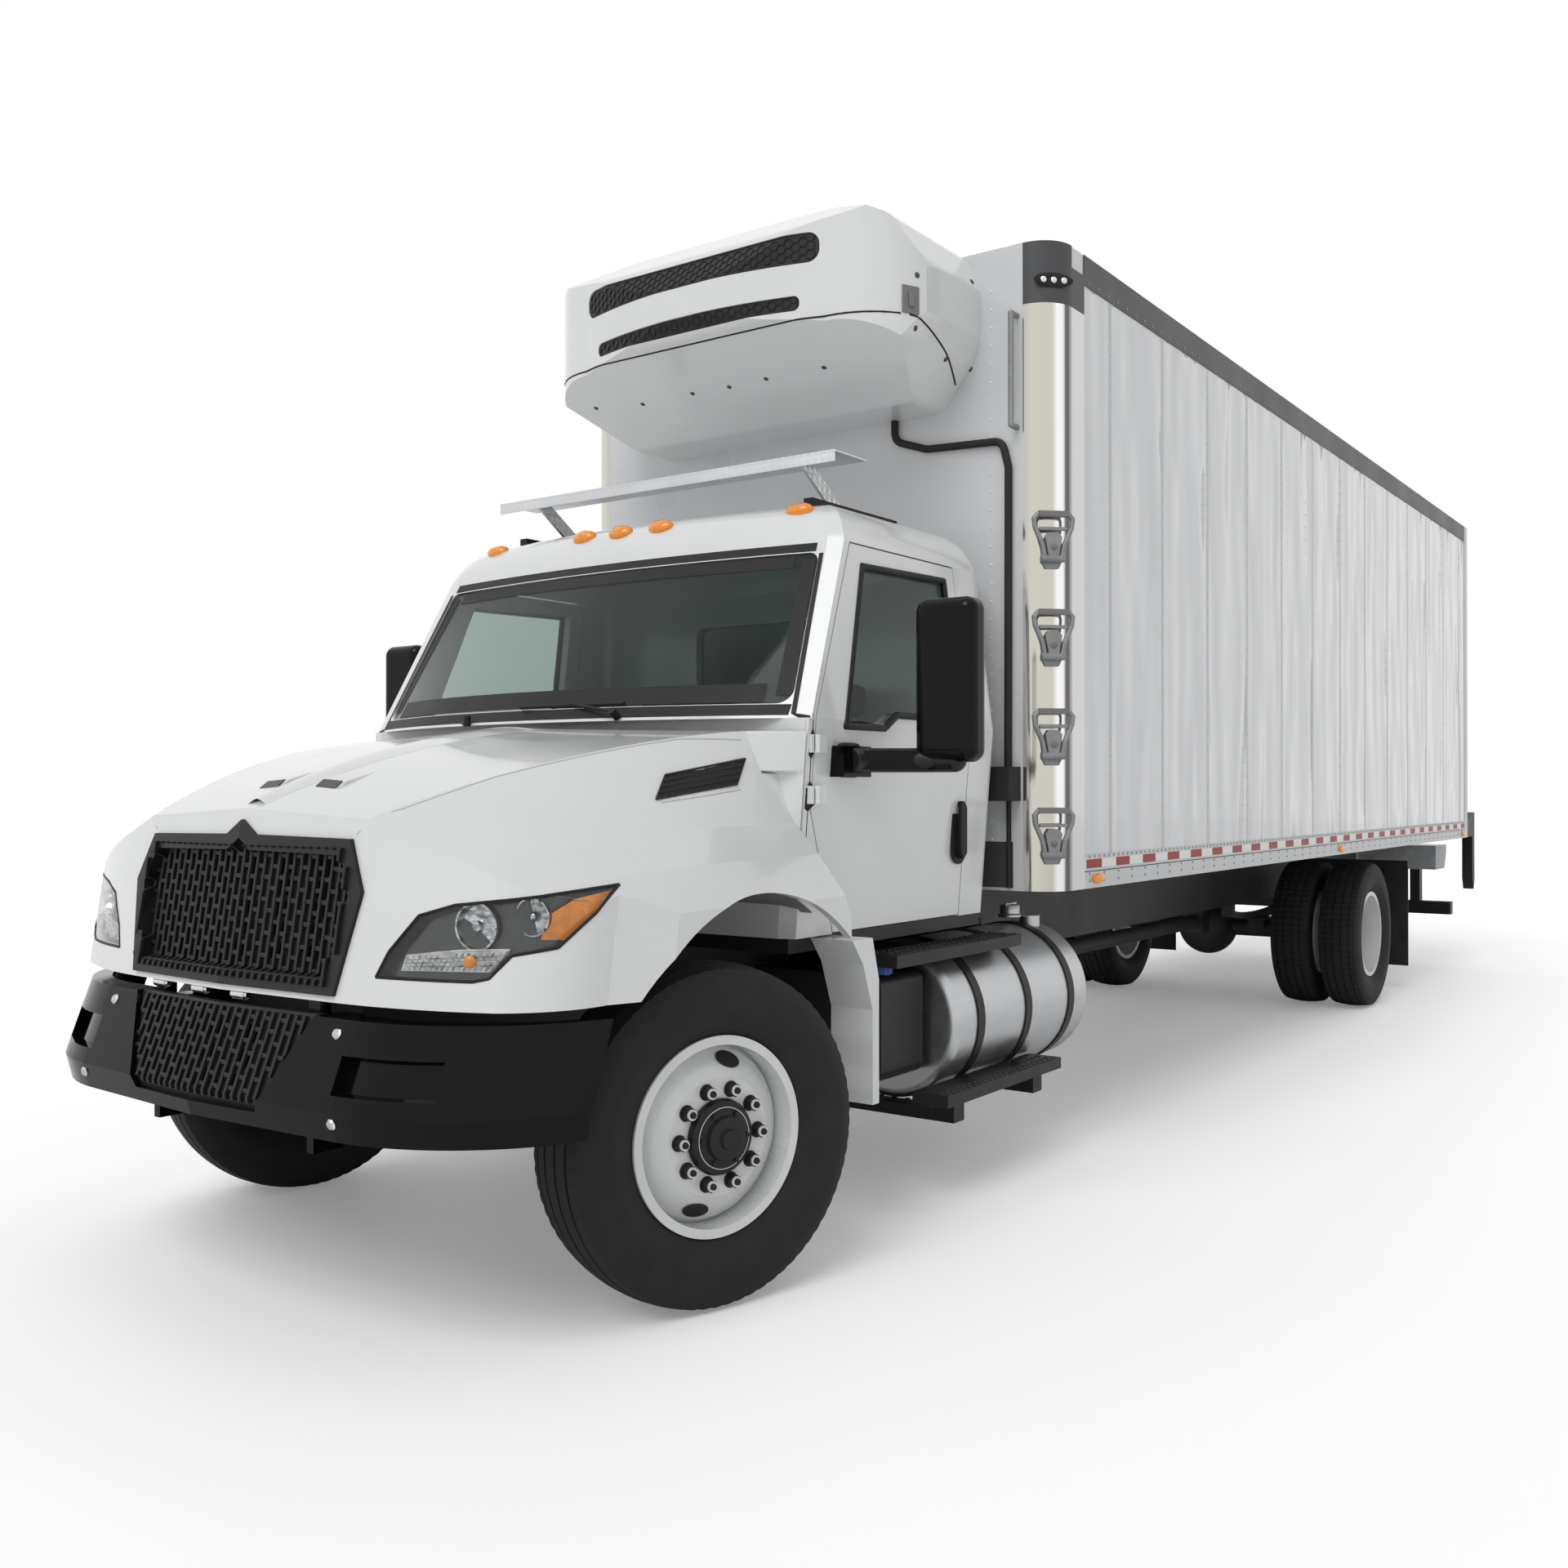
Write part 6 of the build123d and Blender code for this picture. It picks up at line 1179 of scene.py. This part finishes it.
# Mirror arms: rounded covers over the brackets
ARM_PATH = [(-0.655, 1.14), (-0.745, 1.15), (-0.83, 1.25), (-0.872, 1.35), (-0.875, 1.42)]
ARM_LEVEL = 1.648
ARM_RADIUS = 0.042
for side, name in SIDES:
    cover = Pile()
    points = [Vector((FX + x, side * y, ARM_LEVEL)) for x, y in ARM_PATH]
    cover.tube(points, ARM_RADIUS, 20)
    cover.ball(points[-1], ARM_RADIUS, 20, 12)
    foot = beside(f"door_{name}", FX - 0.69, ARM_LEVEL, side)[0]
    if foot is not None:
        out = Vector((0, side, 0))
        cover.plate([foot + Vector((x, 0, z)) - out * 0.004 for z, x in capsule(0.06, 0.085)], out * 0.03)
    cover.done(f"mirror_arm_{name}", f"door_{name}", "dark_plastic", dark_plastic, 0.004)

# Windscreen frame: black edges on the cab beside the glass
edge = Pile()
strips_upright(edge, "cab_front", 1.8, 0.014, 0.03)
solid(edge.done("screen_frame", "chassis", "dark_plastic", trim_black), STRIP_THICK)

# Hood hinge pins that show between the grille and the bumper
PIN_PIXELS = [(202, 1198), (249, 1210), (294, 1216)]
PIN_RISE = 0.026
PIN_HALF = 0.03
PIN_TIP = 0.042
pins = Pile()
for pixel in PIN_PIXELS:
    spot = seen("bumper_grille", pixel)[0] + Vector((0.0, 0.0, PIN_RISE))
    ends = [spot + Vector((0.0, shift, 0.0)) for shift in (-PIN_HALF, PIN_HALF, PIN_TIP)]
    pins.rod(ends[0], ends[1], 0.015, 18)
    pins.rod(ends[1], ends[2], 0.011, 14)
pins.done("hinge_pins", "chassis", "bright_metal", mirror_glass, 0.002)

# Hood: fine crease along the shoulder and a line under the vent, drawn as thin grey tubes whose grey is painted shade
CREASE_PIXELS = [(437, 1022), (495, 990), (605, 952), (695, 930), (830, 905), (960, 890)]
VENT_LINE_PIXELS = [(810, 983), (862, 975), (914, 966)]
for side, name in SIDES:
    crease = Pile()
    for pixels in (CREASE_PIXELS, VENT_LINE_PIXELS):
        spots = [seen("hood_shell", pixel)[0] for pixel in pixels]
        path_points = [start.lerp(end, share) for start, end in zip(spots, spots[1:]) for share in even(8)[:-1]]
        path_points = [surface("hood_shell").find_nearest(point)[0] for point in path_points]
        crease.tube(flip(path_points, side), 0.0018, 6)
    crease.done(f"hood_crease_shade_{name}", "hood", "white_paint", seam_and_shade_grey)

# Wheel arches: dark liners under the fenders, their dark grey partly the arch's own colour and partly painted shade
# inside the arch
ARCH_CENTRE = (FX - 0.1, 0.53)
ARCH_LINER = 0.722
ARCH_ANGLES = (42, 122)
ARCH_Y = (0.72, 1.1)
for side, name in SIDES:
    liner = Pile()
    rows = []
    for angle in range(ARCH_ANGLES[0], ARCH_ANGLES[1] + 1, 4):
        turn_by = math.radians(angle)
        x = ARCH_CENTRE[0] + ARCH_LINER * math.cos(turn_by)
        z = ARCH_CENTRE[1] + ARCH_LINER * math.sin(turn_by)
        rows.append([(x, side * y, z) for y in ARCH_Y])
    liner.grid(rows)
    solid(liner.done(f"arch_liner_and_shade_{name}", "hood", "dark_plastic", trim_grey), 0.004)

# Painted shade: a black strip on the cab where the gap between the hood's rear edge and the doors lies in shadow
GAP_X = (FX - 0.452, FX - 0.482)
GAP_Z = (1.3, 1.8)
GAP_STEPS = 20
for side, name in SIDES:
    gap = Pile()
    rows = []
    for share in even(GAP_STEPS):
        pair = [beside("cab_front", x, between(GAP_Z, share), side)[0] for x in GAP_X]
        if None not in pair:
            rows.append([spot + Vector((0, side * 0.0015, 0)) for spot in pair])
    gap.grid(rows)
    solid(gap.done(f"pillar_gap_shade_{name}", "chassis", "dark_plastic", trim_black), STRIP_THICK)

# Rear corners of the hood, drawn back to the doors' front edges
CHEEK_Z = (1.42, 1.79)
CHEEK_STEPS = 37
CHEEK_DOOR = FX - 0.62
CHEEK_BACK = FX - 0.446
CHEEK_SPANS = 6
CHEEK_STRIDE = 0.004
CHEEK_STRIDES = 120
CHEEK_LEAST = 0.75
for side, name in SIDES:
    cheek = Pile()
    rows = []
    low_door, high_door = [beside(f"door_{name}", CHEEK_DOOR, z, side)[0] for z in CHEEK_Z]
    for share in even(CHEEK_STEPS):
        z = between(CHEEK_Z, share)
        edge = None
        for stride in range(CHEEK_STRIDES):
            spot = beside("hood_shell", FX - stride * CHEEK_STRIDE, z, side)[0]
            if spot is not None and abs(spot.y) > CHEEK_LEAST:
                edge = spot
        if edge is not None and edge.x > CHEEK_BACK:
            back = low_door.lerp(high_door, share)
            back.x = CHEEK_BACK
            rows.append([edge.lerp(back, part) for part in even(CHEEK_SPANS)])
    cheek.grid(rows)
    solid(cheek.done(f"hood_cheek_{name}", "hood", "white_paint", white_paint), 0.003)

# Seats: stuffed pads with sewn channels, on pedestals
PAD_RINGS = 32
PAD_SIDES = 56
PAD_ROUND = 0.38
PAD_PULL = 0.035
CHANNEL_DEPTH = 0.16
CHANNEL_WIDTH = 0.05
CHANNELS = (-0.52, 0.52)
SEAT_HALF = 0.26
SEAT_LEAN = math.radians(8.0)
CUSHION_SPOT = (FX - 1.275, 1.285)
CUSHION_HALF = (0.215, 0.255, 0.078)
BACK_SPOT = (FX - 1.53, 1.565)
BACK_HALF = (0.27, 0.245, 0.058)
REST_SPOT = (FX - 1.575, 1.915)
REST_HALF = (0.07, 0.135, 0.042)
PEDESTAL_X = (FX - 1.5, FX - 1.11)
PEDESTAL_HALF = 0.19
POST_SPREAD = 0.07


def blunt(value):
    """A sine or cosine drawn out towards a square."""
    return math.copysign(abs(value) ** PAD_ROUND, value)


def pad(place, half):
    """A stuffed pad that faces the place's Z axis: crowned, drawn in between its corners, with sewn channels."""
    rings = []
    for ring in range(1, PAD_RINGS):
        rise = math.pi * (ring / PAD_RINGS - 0.5)
        wide = blunt(math.cos(rise))
        points = []
        for index in range(PAD_SIDES):
            angle = 2 * math.pi * index / PAD_SIDES
            x, y, z = wide * blunt(math.cos(angle)), wide * blunt(math.sin(angle)), blunt(math.sin(rise))
            if z > 0:
                z -= CHANNEL_DEPTH * z * sum(math.exp(-((y - line) / CHANNEL_WIDTH) ** 2) for line in CHANNELS)
            drawn = x * (1 - PAD_PULL * (1 - y * y)), y * (1 - PAD_PULL * (1 - x * x))
            points.append(place @ Vector((drawn[0] * half[0], drawn[1] * half[1], z * half[2])))
        rings.append(points)
    pile = Pile()
    pile.hull(rings)
    return pile


seat_low, seat_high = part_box("seats")
up = Vector((-math.sin(SEAT_LEAN), 0, math.cos(SEAT_LEAN)))
forward = Vector((math.cos(SEAT_LEAN), 0, math.sin(SEAT_LEAN)))
upright = Matrix((up, Vector((0, -1, 0)), forward)).transposed().to_4x4()
level = Matrix.Rotation(-SEAT_LEAN / 3, 4, "Y")
PADS = [("cushion", CUSHION_SPOT, CUSHION_HALF, level), ("back", BACK_SPOT, BACK_HALF, upright),
        ("headrest", REST_SPOT, REST_HALF, upright)]
for side, name in SIDES:
    y = side * (seat_high[1] - SEAT_HALF)
    for part, spot, half, turned in PADS:
        place = Matrix.Translation((spot[0], y, spot[1])) @ turned
        piece = pad(place, half).done(f"seat_{part}_{name}", "chassis", "seat_fabric", seat_fabric, smooth=60.0)
        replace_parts(piece, "seats")
    base = Pile()
    seat_level = CUSHION_SPOT[1] - 0.03
    base.box((PEDESTAL_X[0], y - PEDESTAL_HALF, seat_low[2]), (PEDESTAL_X[1], y + PEDESTAL_HALF, seat_level))
    for shift in (-POST_SPREAD, POST_SPREAD):
        base.rod((BACK_SPOT[0], y + shift, BACK_SPOT[1]), (REST_SPOT[0], y + shift, REST_SPOT[1]), 0.007, 12)
    for shift in (-SEAT_HALF + 0.02, SEAT_HALF - 0.02):
        foot = (CUSHION_SPOT[0] - 0.2, y + shift, seat_level)
        base.rod(foot, (BACK_SPOT[0], y + shift, BACK_SPOT[1] - 0.1), 0.012, 12)
    base.done(f"seat_base_{name}", "chassis", "trim_grey", trim_grey, 0.012)

# Floor, light and backdrop
FLOOR_LIFT = 0.2
floor_mat = finish("floor_white", (0.97, 0.97, 0.97), 0.6, tone=0.01, scale=0.4, rough_span=0.02)
floor_tree = floor_mat.node_tree
floor_path = floor_tree.nodes.new("ShaderNodeLightPath")
floor_shown = floor_tree.nodes.new("ShaderNodeMapRange")
floor_shown.inputs["To Min"].default_value = 0.0
floor_shown.inputs["To Max"].default_value = FLOOR_LIFT
floor_tree.links.new(floor_path.outputs["Is Camera Ray"], floor_shown.inputs["Value"])
floor_tree.links.new(floor_shown.outputs["Result"], shader_of(floor_mat).inputs["Emission Strength"])
shader_of(floor_mat).inputs["Emission Color"].default_value = (1, 1, 1, 1)
floor = Pile()
floor.box((-60, -60, -0.02), (60, 60, 0.0))
floor_mesh = bpy.data.meshes.new("floor")
floor.bm.to_mesh(floor_mesh)
floor.bm.free()
floor_mesh.materials.append(floor_mat)
floor_piece = bpy.data.objects.new("floor", floor_mesh)
bpy.context.scene.collection.objects.link(floor_piece)

KEY_STRENGTH = 1.3
KEY_SOFT = math.radians(35)
KEY_FROM = Vector((0.9, 0.1, 1.0))
WORLD_STRENGTH = 0.52
sun_data = bpy.data.lights.new("key", "SUN")
sun_data.energy = KEY_STRENGTH
sun_data.angle = KEY_SOFT
sun = bpy.data.objects.new("key", sun_data)
sun.rotation_euler = KEY_FROM.to_track_quat("Z", "Y").to_euler()
bpy.context.scene.collection.objects.link(sun)

world = bpy.data.worlds.new("studio")
bpy.context.scene.world = world
world.use_nodes = True
sky = world.node_tree
sky.nodes["Background"].inputs["Color"].default_value = (1, 1, 1, 1)
path = sky.nodes.new("ShaderNodeLightPath")
shown = math_node(sky, "MAXIMUM", path.outputs["Is Camera Ray"], path.outputs["Is Transmission Ray"])
shown = math_node(sky, "MAXIMUM", shown, path.outputs["Is Glossy Ray"])
level = sky.nodes.new("ShaderNodeMapRange")
level.inputs["To Min"].default_value = WORLD_STRENGTH
level.inputs["To Max"].default_value = 1.0
sky.links.new(shown, level.inputs["Value"])
sky.links.new(level.outputs["Result"], sky.nodes["Background"].inputs["Strength"])
